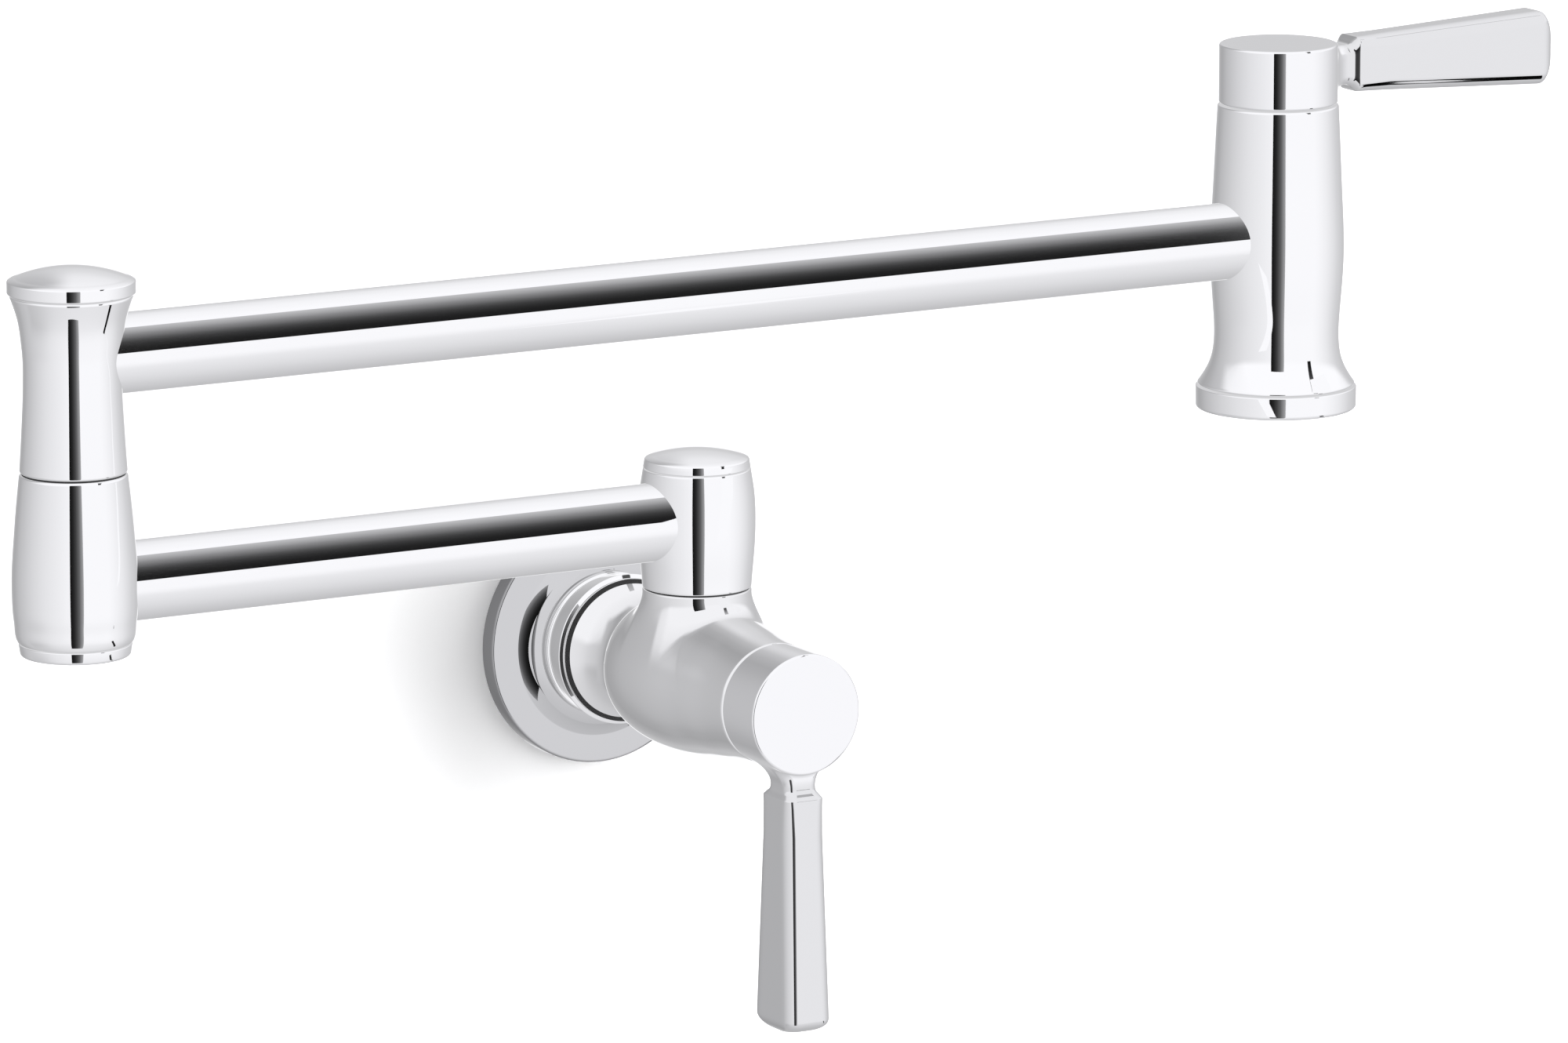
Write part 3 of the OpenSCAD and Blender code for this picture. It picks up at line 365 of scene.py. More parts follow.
one_screw = screw_skin().piece("one_wall_screw", screw_steel)
tree, wire, size = nodes_tree("screws_on_a_circle", ["Radius", "Bracket"])
screw = wire.add("GeometryNodeObjectInfo", None, {"Object": one_screw}, "Geometry")
circle = {"Resolution": 3, "Radius": size["Radius"]}
circle = wire.add("GeometryNodeCurvePrimitiveCircle", None, circle, "Curve")
spots = wire.add("GeometryNodeCurveToPoints", {"mode": "EVALUATED"}, {"Curve": circle}, "Points")
copies = wire.add("GeometryNodeInstanceOnPoints", None, {"Points": spots, "Instance": screw})
lifted = wire.add("ShaderNodeCombineXYZ", None, {"Z": size["Bracket"]})
copies = wire.add("GeometryNodeTransform", None, {"Geometry": copies, "Translation": lifted})
to_room = (math.pi / 2, -math.pi / 2, 0.0)
copies = wire.add("GeometryNodeTransform", None, {"Geometry": copies, "Rotation": to_room})
tree_end(wire, copies, screw_steel)
wall_screws = grown("wall_screw_set", tree, {"Radius": 0.020, "Bracket": 0.002}, screw_steel)
bpy.data.objects.remove(one_screw)
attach(wall_screws, "wall_body")
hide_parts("wall_screws")


# ---- Inlet adapter ----
# A brass adapter on the half inch pipe: a hexagon for the spanner, a threaded mouth behind it
# and a long spigot in front, with two O-rings in grooves. The valve slides on to the spigot.

def length(x, z):
    return (x * x + z * z).of("SQRT")


brass, wire = blank("turned_brass")
place = wire.add("ShaderNodeTexCoord", out="Object")
x, y, z = place.parts()
patina = noise(wire, place, 90.0)
marks = (y * 9000.0).of("SINE") * 0.4 + noise(wire, place, 1500.0)
from_axis = length(x, z)
in_mouth = (1 - from_axis.step(0.0094, 0.0096)) * from_axis.step(0.0088, 0.0090)
thread = (y * 3463.0).of("SINE") * in_mouth
brass = surface(
    brass, wire,
    Base_Color=mixed(wire, patina, (0.60, 0.42, 0.17), (0.78, 0.60, 0.30)),
    Metallic=1.0,
    Roughness=0.22 + 0.2 * patina,
    Normal=bump(wire, marks * 0.012 + thread * 0.4, 0.0007),
)
rubber = finish(
    "black_rubber", (0.012, 0.012, 0.013), (0.035, 0.035, 0.036),
    scale=800.0, rough=0.55, spread=0.25, relief=0.00001)
dress("inlet_adapter", brass)
dress("adapter_o_rings", rubber)


# ---- Escutcheon ----
# A pressed and turned brass plate that flares up to a short neck, chrome plated and polished.
# It slides over the adapter and hides bracket and screws, with a rubber ring inside its rim.

def polish(name, low, high, where=None):
    """Bright plating, with a trace of breath and of the buffing wheel. A mask of (x, y, z), where given,
    turns the colour from low to high and paints shade there.
    """
    plated, wire = blank(name)
    place = wire.add("ShaderNodeTexCoord", out="Object")
    breath = noise(wire, place, 22.0, 2.0)
    swirl = noise(wire, place, 2600.0, 2.0)
    return surface(
        plated, wire,
        Base_Color=mixed(wire, where(*place.parts()) if where else breath, low, high),
        Metallic=1.0,
        Roughness=0.012 + 0.022 * breath + 0.012 * swirl,
        Normal=bump(wire, swirl, 0.00000006),
    )


BRIGHT = (0.925, 0.925, 0.945)
chrome = polish("polished_chrome", BRIGHT, (0.945, 0.945, 0.96))
# The escutcheon's plating is a darker copy of the polished chrome, painted shade, and darker still on the
# rim's side, a painted reflection of the wall's shadow.
plate_chrome = polish(
    "plate_chrome", (0.615, 0.615, 0.63), (0.34, 0.34, 0.35),
    lambda x, y, z: length(x, z).step(0.0303, 0.0308))


def chrome_piece(piece, body, *stands_for):
    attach(piece, body)
    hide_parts(*stands_for)


def turned(name, outline, axis, body, node, plating=chrome, segments=192):
    chrome_piece(lathe(name, outline, axis, plating, segments), body, node)


FACE_T, FLARE_R = 5.2, 14.5
lean = np.radians(np.linspace(22, 36.5, 16))
flare_r = 23.9 - FLARE_R * (np.sin(lean) - np.sin(lean[0]))
flare_t = FACE_T + FLARE_R * (np.cos(lean[0]) - np.cos(lean))
plate = rounded([
    (29.3, 0.0, 0.15), (30.9, 0.0, 0.2), (30.9, FACE_T, 0.75), (24.0, FACE_T), *zip(flare_r, flare_t),
    (18.1, 7.5, 0.2), (18.1, 8.8, 0.3), (14.3, 8.8, 0.2), (14.3, 3.6, 0.3), (29.3, 3.6, 0.6)], 7)
turned("escutcheon_plate", plate, on_inlet, "wall_body", "escutcheon", plate_chrome, 224)
dress("escutcheon_gasket", rubber)


# ---- Collar ring ----
# A turned locking ring between escutcheon and valve, screwed on the valve's rear thread: a round
# bead, a cone and a narrower front, with a black rubber ring between it and the valve.

collar = rounded([
    (13.42, 8.85, 0.15), (18.0, 8.85, 0.45), (18.0, 9.85, 0.4), (17.4, 9.9, 0.1), (17.4, 10.3, 0.15),
    (17.62, 10.85, 0.3), (18.9, 17.3, 0.35), (17.9, 17.8, 0.12), (17.9, 18.5, 0.12), (13.42, 18.5, 0.2),
], 8)
turned("collar_locking_ring", collar, on_inlet, "wall_body", "collar_ring")
dress("collar_seal", rubber)


# ---- Wall body ----
# A cast and polished brass valve body: a bulb turned about the inlet, necked in behind, whose
# upright boss flows out of it and carries the arm. Front and boss are bored for their inserts.

def flowing(points, count):
    """A smooth curve through the points, evenly cut."""
    points = np.array(points, float)
    run = np.concatenate([[0.0], np.cumsum(np.hypot(*np.diff(points, axis=0).T))])
    size = len(points)
    table = np.zeros((size, size))
    right = np.zeros((size, 2))
    table[0, 0] = table[-1, -1] = 1.0
    step = np.diff(run)
    for i in range(1, size - 1):
        table[i, i - 1:i + 2] = step[i - 1], 2 * (step[i - 1] + step[i]), step[i]
        right[i] = 6 * ((points[i + 1] - points[i]) / step[i] - (points[i] - points[i - 1]) / step[i - 1])
    bend = np.linalg.solve(table, right)
    out = []
    for s in np.linspace(0.0, run[-1], count):
        i = min(int(np.searchsorted(run, s, "right")) - 1, size - 2)
        a, b, h = run[i + 1] - s, s - run[i], step[i]
        out.append(tuple(
            (bend[i] * a ** 3 + bend[i + 1] * b ** 3) / (6 * h)
            + (points[i] / h - bend[i] * h / 6) * a + (points[i + 1] / h - bend[i + 1] * h / 6) * b))
    return out


def stretched(shares, start, length, radius):
    """A table of shares as (radius, height) in millimetres."""
    return [(r * radius, start + h * length) for h, r in shares]


BULB = 18.95
BOSS = 13.4
BOSS_TOP = 22.0
SET_SCREW_T, SET_SCREW_R = 29.45, 2.42
ARM_OUT = 53.2
bulb_line = flowing(stretched([
    (0, 0.888), (0.036, 0.765), (0.071, 0.702), (0.106, 0.67), (0.14, 0.675), (0.175, 0.734),
    (0.217, 0.839), (0.258, 0.913), (0.314, 0.966), (0.383, 0.995), (0.453, 1), (0.536, 0.984),
    (0.619, 0.947), (0.703, 0.9), (0.786, 0.86), (0.869, 0.821), (1, 0.786)], 19.1, 72.2, BULB), 110)
bulb_r, bulb_t = (np.array(column) for column in zip(*bulb_line))


def bulb_at(t):
    return float(np.interp(t, bulb_t, bulb_r))


def bulb_top(s, a):
    """Height of the bulb's skin at the distance s from the boss axis, in the direction a."""
    x, t = s * math.cos(a), ARM_OUT - s * math.sin(a)
    return math.sqrt(max(0.0, bulb_at(t) ** 2 - x * x))


def curve_of_four(p, u):
    v = 1 - u
    return v ** 3 * p[0] + 3 * v * v * u * p[1] + 3 * v * u * u * p[2] + u ** 3 * p[3]


def around(skin, rows, r0, r1, c0, c1):
    """The closed loop of points round a block of cells."""
    count = len(rows[0])
    there = [rows[r0][c % count] for c in range(c0, c1)] + [rows[r][c1 % count] for r in range(r0, r1)]
    back = [rows[r1][c % count] for c in range(c1, c0, -1)] + [rows[r][c0 % count] for r in range(r1, r0, -1)]
    return there + back


def body_skin():
    """The bulb with its boss flowing out of it, and the hole of the set screw below."""
    skin = Skin()
    columns = 160
    turns = [2 * math.pi * i / columns for i in range(columns)]
    front = [
        (14.9, 91.0), (14.84, 91.17), (14.72, 91.28), (14.6, 91.3), (11.45, 91.3), (11.45, 55.3), (5.5, 55.3),
        (5.5, 52.0)]
    rear = [
        (6.4, 52.0), (6.4, 33.3), (9.52, 33.3), (9.52, 15.7), (11.42, 15.7), (11.42, 9.0), (13.4, 9.0),
        (13.4, 19.1), (16.6, 19.1), (16.78, 19.16)]
    outline = rear + list(bulb_line[1:-1]) + front
    rows = [skin.loop([on_inlet(r, t, a) for a in turns]) for r, t in outline]
    low, screw, high = [
        len(rear) + min(range(len(bulb_line) - 2), key=lambda i: abs(bulb_line[i + 1][1] - t))
        for t in (33.0, SET_SCREW_T, 73.0)]
    # Rows and columns that the boss and the set screw's hole take the place of.
    cuts = [(low, high, 2, 78), (screw - 4, screw + 4, 116, 124)]
    for i in range(len(rows)):
        skip = [c for r0, r1, c0, c1 in cuts if r0 <= i < r1 for c in range(c0, c1)]
        skin.band(rows[i], rows[(i + 1) % len(rows)], skip)

    before = around(skin, rows, *cuts[0])
    spots = [skin.points[i] for i in before]
    aim = [math.atan2(p[1] + ARM_OUT, p[0]) for p in spots]
    starts = [(-p[1], math.atan2(p[2], p[0])) for p in spots]
    feet, curves = [], []
    for a in aim:
        base = bulb_top(BOSS, a)
        rise = min(BOSS / 2, BOSS_TOP - 0.9 - base)
        out = min(BOSS + 0.9 * rise, 0.955 * BULB / max(abs(math.cos(a)), 0.05))
        foot = np.array([out, bulb_top(out, a)])
        slope = (bulb_top(out + 0.02, a) - bulb_top(out - 0.02, a)) / 0.04
        along = np.array([1.0, slope]) / math.hypot(1.0, slope)
        top = np.array([BOSS, base + rise])
        bend = np.array([BOSS, base + rise / 2])
        reach = np.linalg.norm(foot - bend)
        curves.append([foot, foot - along * 0.5 * reach, top - np.array([0.0, 0.5 * rise]), top])
        x, t = out * math.cos(a), ARM_OUT - out * math.sin(a)
        feet.append((t, math.atan2(foot[1], x)))
    for f in (0.25, 0.5, 0.75, 1.0):
        ring = []
        for (t0, p0), (t1, p1) in zip(starts, feet):
            t, p = t0 + f * (t1 - t0), p0 + f * (p1 - p0)
            ring.append(on_inlet(bulb_at(t), t, p))
        before = skin.grow(before, ring)
    for k in range(1, 13):
        ring = []
        for a, c in zip(aim, curves):
            s, z = curve_of_four(c, k / 12)
            ring.append((s * math.cos(a), s * math.sin(a) - ARM_OUT, z))
        before = skin.grow(before, ring)
    boss_bore = [(8.97, BOSS_TOP), (8.97, 16.2), (6.0, 16.2), (6.0, 10.4)]
    for r, z in [(BOSS, 21.6), (13.36, 21.8), (13.24, 21.94), (13.0, BOSS_TOP), *boss_bore]:
        before = skin.grow(before, [(r * math.cos(a), r * math.sin(a) - ARM_OUT, z) for a in aim])
    skin.close(before, (0, -ARM_OUT, 10.4))

    before = around(skin, rows, *cuts[1])
    spots = [skin.points[i] for i in before]
    middle = sum(-p[1] for p in spots) / len(spots)
    aim = [math.atan2(-p[1] - middle, p[0]) for p in spots]
    for depth in (0.0, 0.6, 5.0):
        ring = []
        for a in aim:
            x, t = SET_SCREW_R * math.cos(a), middle + SET_SCREW_R * math.sin(a)
            ring.append((x, -t, -math.sqrt(bulb_at(t) ** 2 - x * x) + depth))
        before = skin.grow(before, ring)
    skin.close(before, (0, -middle, -bulb_at(middle) + 5.0))
    return skin


# The valve body's plating is a darker copy of the polished chrome: painted shade that greys the bulb.
body_chrome = polish("body_chrome", (0.84, 0.84, 0.855), (0.87, 0.87, 0.885))
chrome_piece(body_skin().piece("valve_body", body_chrome), "wall_body", "wall_body")

oxide = finish(
    "black_oxide_steel", (0.03, 0.03, 0.033), (0.09, 0.09, 0.095),
    scale=1200.0, rough=0.32, spread=0.2, relief=0.00001, metal=1.0)
dress("body_set_screw", oxide)


# ---- Quarter turn valves ----
# Both valves hold the same bought cartridge: a moulded housing with two ceramic discs, a soft
# seat below, a brass stem with its O-ring, and a brass nut that holds it all down.

moulded = finish(
    "moulded_acetal", (0.70, 0.70, 0.68), (0.80, 0.80, 0.78),
    scale=300.0, rough=0.34, spread=0.16, relief=0.00002)
alumina = finish(
    "alumina_ceramic", (0.80, 0.77, 0.70), (0.90, 0.88, 0.83),
    scale=3000.0, rough=0.16, spread=0.1, relief=0.000002)
for valve in ("wall", "spout"):
    dress(valve + "_cartridge", moulded)
    dress(valve + "_fixed_disc", alumina)
    dress(valve + "_moving_disc", alumina)
    dress(valve + "_seat_seal", rubber)
    dress(valve + "_stem_o_ring", rubber)
    dress(valve + "_stem", brass)
    dress(valve + "_spline_insert", brass)
    dress(valve + "_bonnet_nut", brass)


# ---- Swivel posts ----
# Hollow brass posts that the two arms turn on, with O-rings above and below the water ports.
# A black washer under each barrel shows as a dark line, and a nut on top keeps the barrel on.

slick = finish(
    "black_thrust_washer", (0.010, 0.010, 0.011), (0.028, 0.028, 0.03),
    scale=900.0, rough=0.42, spread=0.2, relief=0.00001)
for post in ("hub", "elbow"):
    dress(post + "_post", brass)
    dress(post + "_post_o_rings", rubber)
    dress(post + "_thrust_washer", slick)
    dress(post + "_nut_washer", moulded)
    dress(post + "_nut", brass)


# ---- Handles ----
# Two alike levers of polished chrome, cast in one piece: a round hub, a waisted neck and a
# flat lever that grows toward its end. A black set screw in the hub's side holds each.

def squared_loop(w, h, r):
    """A rectangle with round corners as 112 points, with their outward directions."""
    r = min(r, 0.46 * min(w, h))
    sides = [((-1, -1), (1, -1), 40), ((1, -1), (1, 1), 16), ((1, 1), (-1, 1), 40), ((-1, 1), (-1, -1), 16)]
    out = []
    for (y0, z0), (y1, z1), count in sides:
        lean = math.atan2(-(y1 - y0), z1 - z0)
        for k in range(count):
            if k < 4 or k > count - 4:
                y, z = (y0, z0) if k < 4 else (y1, z1)
                turn = lean + math.radians(-45 + 11.25 * k if k < 4 else 11.25 * (k - count + 4))
            else:
                f = (k - 4) / (count - 8)
                y, z = y0 + f * (y1 - y0), z0 + f * (z1 - z0)
                turn = lean
            way = math.cos(turn), math.sin(turn)
            out.append(((y * (w / 2 - r) + r * way[0], z * (h / 2 - r) + r * way[1]), way))
    return out


HUB_R = 14.9
HUB_LOW, HUB_HIGH = 0.4, 15.3
HUB_MIDDLE = (HUB_LOW + HUB_HIGH) / 2
HUB_EDGE = 0.6
LEVER_MIDDLE = HUB_MIDDLE + 0.9
LEVER_START, LEVER_TIP = 21.0, 79.0
LEVER_W, LEVER_H, TIP_WIDER, TIP_HIGHER = 10.5, 13.83, 1.8, 5.17
END_ROUND, END_NARROWER, END_LOWER = 3.6, 6.4, 15.2
HANDLE_SCREW_Z, HANDLE_SCREW_R = 7.6, 1.93
NECK = [
    (18.2, 8.65, 10.0), (18.9, 8.68, 10.15), (19.4, 8.76, 10.6), (19.75, 8.93, 11.2), (20.0, 9.22, 11.8),
    (20.3, 9.6, 12.45), (20.6, 9.97, 13.0), (20.85, 10.28, 13.5), (20.98, 10.42, 13.72), (21.08, 10.5, 13.82),
    (21.3, 10.52, 13.87)]


def taper(s):
    """Width and height of the lever, s out from the valve axis."""
    share = (s - LEVER_START) / (LEVER_TIP - LEVER_START)
    return LEVER_W + share * TIP_WIDER, LEVER_H + share * TIP_HIGHER


def handle_skin(place):
    """A handle with its valve axis along Z and its lever along +X, put in place by place()."""
    skin = Skin()
    columns = 160
    turns = [2 * math.pi * i / columns for i in range(columns)]
    quarter = [(HUB_EDGE * math.sin(a), HUB_EDGE * math.cos(a)) for a in np.radians(np.linspace(0, 90, 6))]
    flat, low_z, high_z = HUB_R - HUB_EDGE, HUB_LOW + HUB_EDGE, HUB_HIGH - HUB_EDGE
    under = [(0.0, 10.2), (6.42, 10.2), (6.42, 4.4), (12.4, 4.4), (12.4, HUB_LOW + 0.15), (12.55, HUB_LOW)]
    under += [(flat + a, low_z - b) for a, b in quarter]
    side = [(HUB_R, z) for z in np.linspace(low_z + 0.05, high_z - 0.05, 17)]
    over = [(flat + b, high_z + a) for a, b in quarter]
    over += [(flat - 0.1, HUB_HIGH), (HUB_R - 3, HUB_HIGH), (8.0, HUB_HIGH), (0.0, HUB_HIGH)]
    outline = under + side + over
    rows = [skin.loop(ring_of(r, h, turns)) for r, h in outline]
    low, high = len(under), len(under) + 16
    screw = low + 8
    # Rows and columns that the neck and the set screw's hole take the place of.
    cuts = [(low, high, -20, 20), (screw - 3, screw + 3, 36, 44)]
    for i in range(len(rows) - 1):
        skip = [c % columns for r0, r1, c0, c1 in cuts if r0 <= i < r1 for c in range(c0, c1)]
        skin.band(rows[i], rows[i + 1], skip)

    before = around(skin, rows, *cuts[0])
    spots = [skin.points[i] for i in before]
    starts = [(math.atan2(p[1], p[0]) * HUB_R, p[2] - HUB_MIDDLE) for p in spots]
    foot = squared_loop(19.6, 13.3, 5.2)
    neck = squared_loop(NECK[0][1], NECK[0][2], 2.4)
    for f in (0.5, 1.0):
        ring = []
        for (u0, z0), ((u1, z1), _) in zip(starts, foot):
            u, z = u0 + f * (u1 - u0), z0 + f * (z1 - z0)
            ring.append((HUB_R * math.cos(u / HUB_R), HUB_R * math.sin(u / HUB_R), HUB_MIDDLE + z))
        before = skin.grow(before, ring)
    curves = []
    for ((u, z), (way_u, way_z)), ((y1, z1), _) in zip(foot, neck):
        a = u / HUB_R
        start = np.array([HUB_R * math.cos(a), HUB_R * math.sin(a), HUB_MIDDLE + z])
        along = -np.array([-math.sin(a) * way_u, math.cos(a) * way_u, way_z])
        end = np.array([NECK[0][0], y1, LEVER_MIDDLE + z1])
        push = 2.7 * abs(way_u) + 0.9 * abs(way_z)
        curves.append([start, start + along * push, end - np.array([2.1, 0.0, 0.0]), end])
    for k in range(1, 13):
        before = skin.grow(before, [tuple(curve_of_four(c, k / 12)) for c in curves])
    stations = NECK[1:] + [(s, *taper(s)) for s in (23.0, 30.0, 40.0, 50.0, 60.0, 68.0, 74.6)]
    for a in np.radians(np.linspace(0, 90, 12)):
        s = LEVER_TIP - END_ROUND * (1 - math.sin(a))
        w, h = taper(s)
        stations.append((s, w - END_NARROWER * (1 - math.cos(a)), h - END_LOWER * (1 - math.cos(a))))
    for s, w, h in stations:
        corner = min(3.3, 2.4 + max(0.0, s - NECK[-1][0]) / 6)
        before = skin.grow(before, [(s, y, LEVER_MIDDLE + z) for (y, z), _ in squared_loop(w, h, corner)])
    skin.close(before, (LEVER_TIP, 0.0, LEVER_MIDDLE))

    before = around(skin, rows, *cuts[1])
    spots = [skin.points[i] for i in before]
    height = sum(p[2] for p in spots) / len(spots)
    aim = [math.atan2(p[2] - height, p[0]) for p in spots]
    for depth in (0.0, 0.5, 6.0):
        ring = []
        for a in aim:
            x, z = HANDLE_SCREW_R * math.cos(a), HANDLE_SCREW_Z + HANDLE_SCREW_R * math.sin(a)
            ring.append((x, math.sqrt(HUB_R ** 2 - x * x) - depth, z))
        before = skin.grow(before, ring)
    skin.close(before, (0, HUB_R - 6.0, HANDLE_SCREW_Z))
    skin.points = [place(*p) for p in skin.points]
    return skin


UPPER_REACH = 167.0
# The lever arms, past the hub, take a darker tone of the same plating: painted shade for the greyer
# reflection on their faces.
lever_chrome = polish(
    "lever_chrome", BRIGHT, (0.77, 0.77, 0.785),
    lambda x, y, z: (-1 * z).step(0.0155, 0.0185) + x.step(0.1825, 0.1855))
wall_lever = handle_skin(lambda x, y, z: (y, -91.3 - z, -x))
chrome_piece(wall_lever.piece("wall_lever", lever_chrome, 28), "wall_handle", "wall_handle")
spout_lever = handle_skin(lambda x, y, z: (UPPER_REACH + x, y - ARM_OUT, 128.1 + z))
chrome_piece(spout_lever.piece("spout_lever", lever_chrome, 28), "spout_handle", "spout_handle")
dress("wall_handle_screw", oxide)
dress("spout_handle_screw", oxide)


# ---- Hub barrel ----
# A chrome plated brass barrel that turns on the boss and carries the lower arm, faintly
# bellied, with a low domed cap pressed into its top.

def upright_at(x):
    """Places a turned piece on an upright axis, x along the folded arms."""
    return lambda r, h, a: (x + r * math.cos(a), r * math.sin(a) - ARM_OUT, h)


LOWER_REACH = 169.4
HUB, ELBOW, SPOUT = upright_at(0.0), upright_at(-LOWER_REACH), upright_at(UPPER_REACH)
hub_line = flowing(stretched([
    (0, 0.929), (0.1, 0.944), (0.25, 0.971), (0.42, 0.994), (0.56, 1), (0.7, 0.994), (0.83, 0.971),
    (0.92, 0.944), (1, 0.917)], 22.45, 29.35, 14.4), 44)


def barrel(line, inside, edge=0.3):
    """A turned skin with broken ends and its bore."""
    (r0, h0), (r1, h1) = line[0], line[-1]
    foot = rounded([(inside[-1][0], h0), (r0, h0, edge), (line[2][0], line[2][1])], 5)[1:-1]
    head = rounded([(line[-3][0], line[-3][1]), (r1, h1, edge), (inside[0][0], h1)], 5)[1:-1]
    return foot + list(line[1:-1]) + head + inside


hub_bore = [(10.02, 51.8), (10.02, 46.85), (9.05, 46.85), (9.05, 22.45)]
turned("hub_barrel_skin", barrel(hub_line, hub_bore), HUB, "lower_arm", "hub_barrel")


def dome(r, low, rise, inside, count=18):
    """A shallow cap, from the radius inside to the axis."""
    ball = (r * r + rise * rise) / (2 * rise)
    leans = [math.asin(r / ball) * (1 - k / count) for k in range(1, count + 1)]
    line = [(ball * math.sin(lean), low + rise - ball + ball * math.cos(lean)) for lean in leans]
    return [(r, h) for r, h in line if r < inside]


hub_cap = rounded([(9.98, 52.05), (13.2, 52.05, 0.25), (12.82, 54.2, 0.55), (11.9, 54.62)], 7)
hub_cap += dome(12.3, 54.45, 1.95, 11.6) + [(0.0, 50.8), (9.98, 50.8)]
turned("hub_domed_cap", hub_cap, HUB, "lower_arm", "hub_cap")


# ---- Arm tubes ----
# Two straight brass tubes, chrome plated. Each end is cut to the curve of the barrel that it
# enters and brazed in, so no more than a fine line shows.

tree, wire, size = nodes_tree("coped_tube", [
    "Start", "End", "Height", "Out", "Radius", "Wall", "Start Barrel", "End Barrel", "Sink"])
grid = {"Size X": 1.0, "Size Y": 1.0, "Vertices X": 161, "Vertices Y": 5}
grid = wire.add("GeometryNodeMeshGrid", None, grid, "Mesh")
u, v, _ = wire.add("GeometryNodeInputPosition").parts()
u, v = u + 0.5, v + 0.5
is_inner = v.of("GREATER_THAN", 0.375) * v.of("LESS_THAN", 0.875)
is_end = v.of("GREATER_THAN", 0.125) * v.of("LESS_THAN", 0.625)
tube_r = size["Radius"] - is_inner * size["Wall"]
turn = u * (2 * math.pi)
across = tube_r * turn.of("COSINE")
upward = tube_r * turn.of("SINE")


def cope(barrel_r):
    """How far the barrel reaches along the tube, at each point of its rim."""
    return (barrel_r * barrel_r - across * across).of("SQRT") - size["Sink"]


start, end = size["Start"] + cope(size["Start Barrel"]), size["End"] - cope(size["End Barrel"])
spot = {"X": start * (1 - is_end) + end * is_end, "Y": across - size["Out"], "Z": upward + size["Height"]}
spot = wire.add("ShaderNodeCombineXYZ", None, spot)
tube = wire.add("GeometryNodeSetPosition", None, {"Geometry": grid, "Position": spot})
tree_end(wire, tube, chrome)
alike = {
    "Start": -LOWER_REACH / 1000, "Out": ARM_OUT / 1000, "Radius": 0.0096, "Wall": 0.0012, "Sink": 0.0009}
lower_tube = grown("lower_arm_tube", tree, {
    **alike, "End": 0.0, "Height": 0.0394, "Start Barrel": 0.0147, "End Barrel": 0.0141}, chrome)
chrome_piece(lower_tube, "lower_arm", "lower_tube")
upper_tube = grown("upper_arm_tube", tree, {
    **alike, "End": UPPER_REACH / 1000, "Height": 0.0946, "Start Barrel": 0.0118, "End Barrel": 0.0158,
}, chrome)
chrome_piece(upper_tube, "upper_arm", "upper_tube")


# ---- Elbow ----
# Two turned barrels, chrome plated, one on the other: the lower holds the post and a cap
# below, the upper turns on it and flares out to a rim under a shallow dome.

low_line = flowing(stretched([
    (0, 0.909), (0.022, 0.937), (0.099, 0.966), (0.173, 0.987), (0.249, 0.997), (0.36, 1), (0.473, 0.989),
    (0.621, 0.959), (0.772, 0.925), (0.92, 0.885), (1, 0.861)], 26.2, 40.55, 15.02), 60)
low_bore = [(8.97, 66.75), (8.97, 30.6), (10.02, 30.6), (10.02, 26.2)]
turned("elbow_lower_barrel", barrel(low_line, low_bore, 0.65), ELBOW, "lower_arm", "lower_elbow")
bottom_cap = rounded([
    (0.0, 22.7), (10.9, 22.7, 1.2), (13.17, 23.2, 0.9), (13.55, 25.95, 0.2), (9.98, 25.95), (9.98, 29.2),
    (0.0, 29.2)], 7)
turned("elbow_bottom_plug", bottom_cap, ELBOW, "lower_arm", "elbow_bottom_cap")
up_line = flowing(stretched([
    (0, 0.842), (0.153, 0.814), (0.294, 0.792), (0.435, 0.773), (0.536, 0.767), (0.649, 0.771),
    (0.719, 0.788), (0.79, 0.809), (0.86, 0.842), (0.94, 0.908), (1, 0.967)], 67.2, 42.55, 15.3), 70)
up_bore = [(10.02, 109.75), (10.02, 78.3), (9.05, 78.3), (9.05, 67.2)]
turned("elbow_upper_barrel", barrel(up_line, up_bore, 0.65), ELBOW, "upper_arm", "upper_elbow")
top_cap = rounded([
    (9.98, 110.0), (14.95, 110.0, 0.2), (15.3, 110.4, 0.25), (15.3, 113.15, 0.5), (14.2, 113.75)], 7)
top_cap += dome(14.9, 113.35, 3.15, 14.0, 24) + [(0.0, 105.4), (9.98, 105.4)]
turned("elbow_domed_cap", top_cap, ELBOW, "upper_arm", "elbow_top_cap")


# ---- Spout ----
# A turned brass spout body, chrome plated, with the second valve in its top, the water way
# through its middle and a flared foot. A plain ring is pressed over its lower end.

spout_line = flowing(stretched([
    (0, 1), (0.018, 0.955), (0.057, 0.872), (0.095, 0.819), (0.13, 0.795), (0.18, 0.784), (0.27, 0.799),
    (0.39, 0.83), (0.475, 0.841), (0.559, 0.836), (0.67, 0.8165), (0.781, 0.7975), (0.894, 0.779),
    (1, 0.76)], 57.3, 70.8, 20.0), 110)
spout_bore = [
    (11.45, 128.1), (11.45, 92.1), (5.5, 92.1), (5.5, 89.7), (7.5, 89.7), (7.5, 61.75), (12.02, 61.75),
    (12.02, 51.8), (16.0, 51.8), (16.0, 57.3)]
turned("spout_column", barrel(spout_line, spout_bore, 0.55), SPOUT, "upper_arm", "spout_body")
ring = rounded([(16.02, 51.2, 0.4), (20.2, 51.2, 1.0), (20.2, 56.9, 0.3), (16.02, 56.9)], 7)
turned("outlet_trim_ring", ring, SPOUT, "upper_arm", "outlet_ring")


# ---- Aerator ----
# A chrome plated housing screwed into the spout's lower end. It holds a moulded insert with a
# woven steel screen, under a rubber washer.

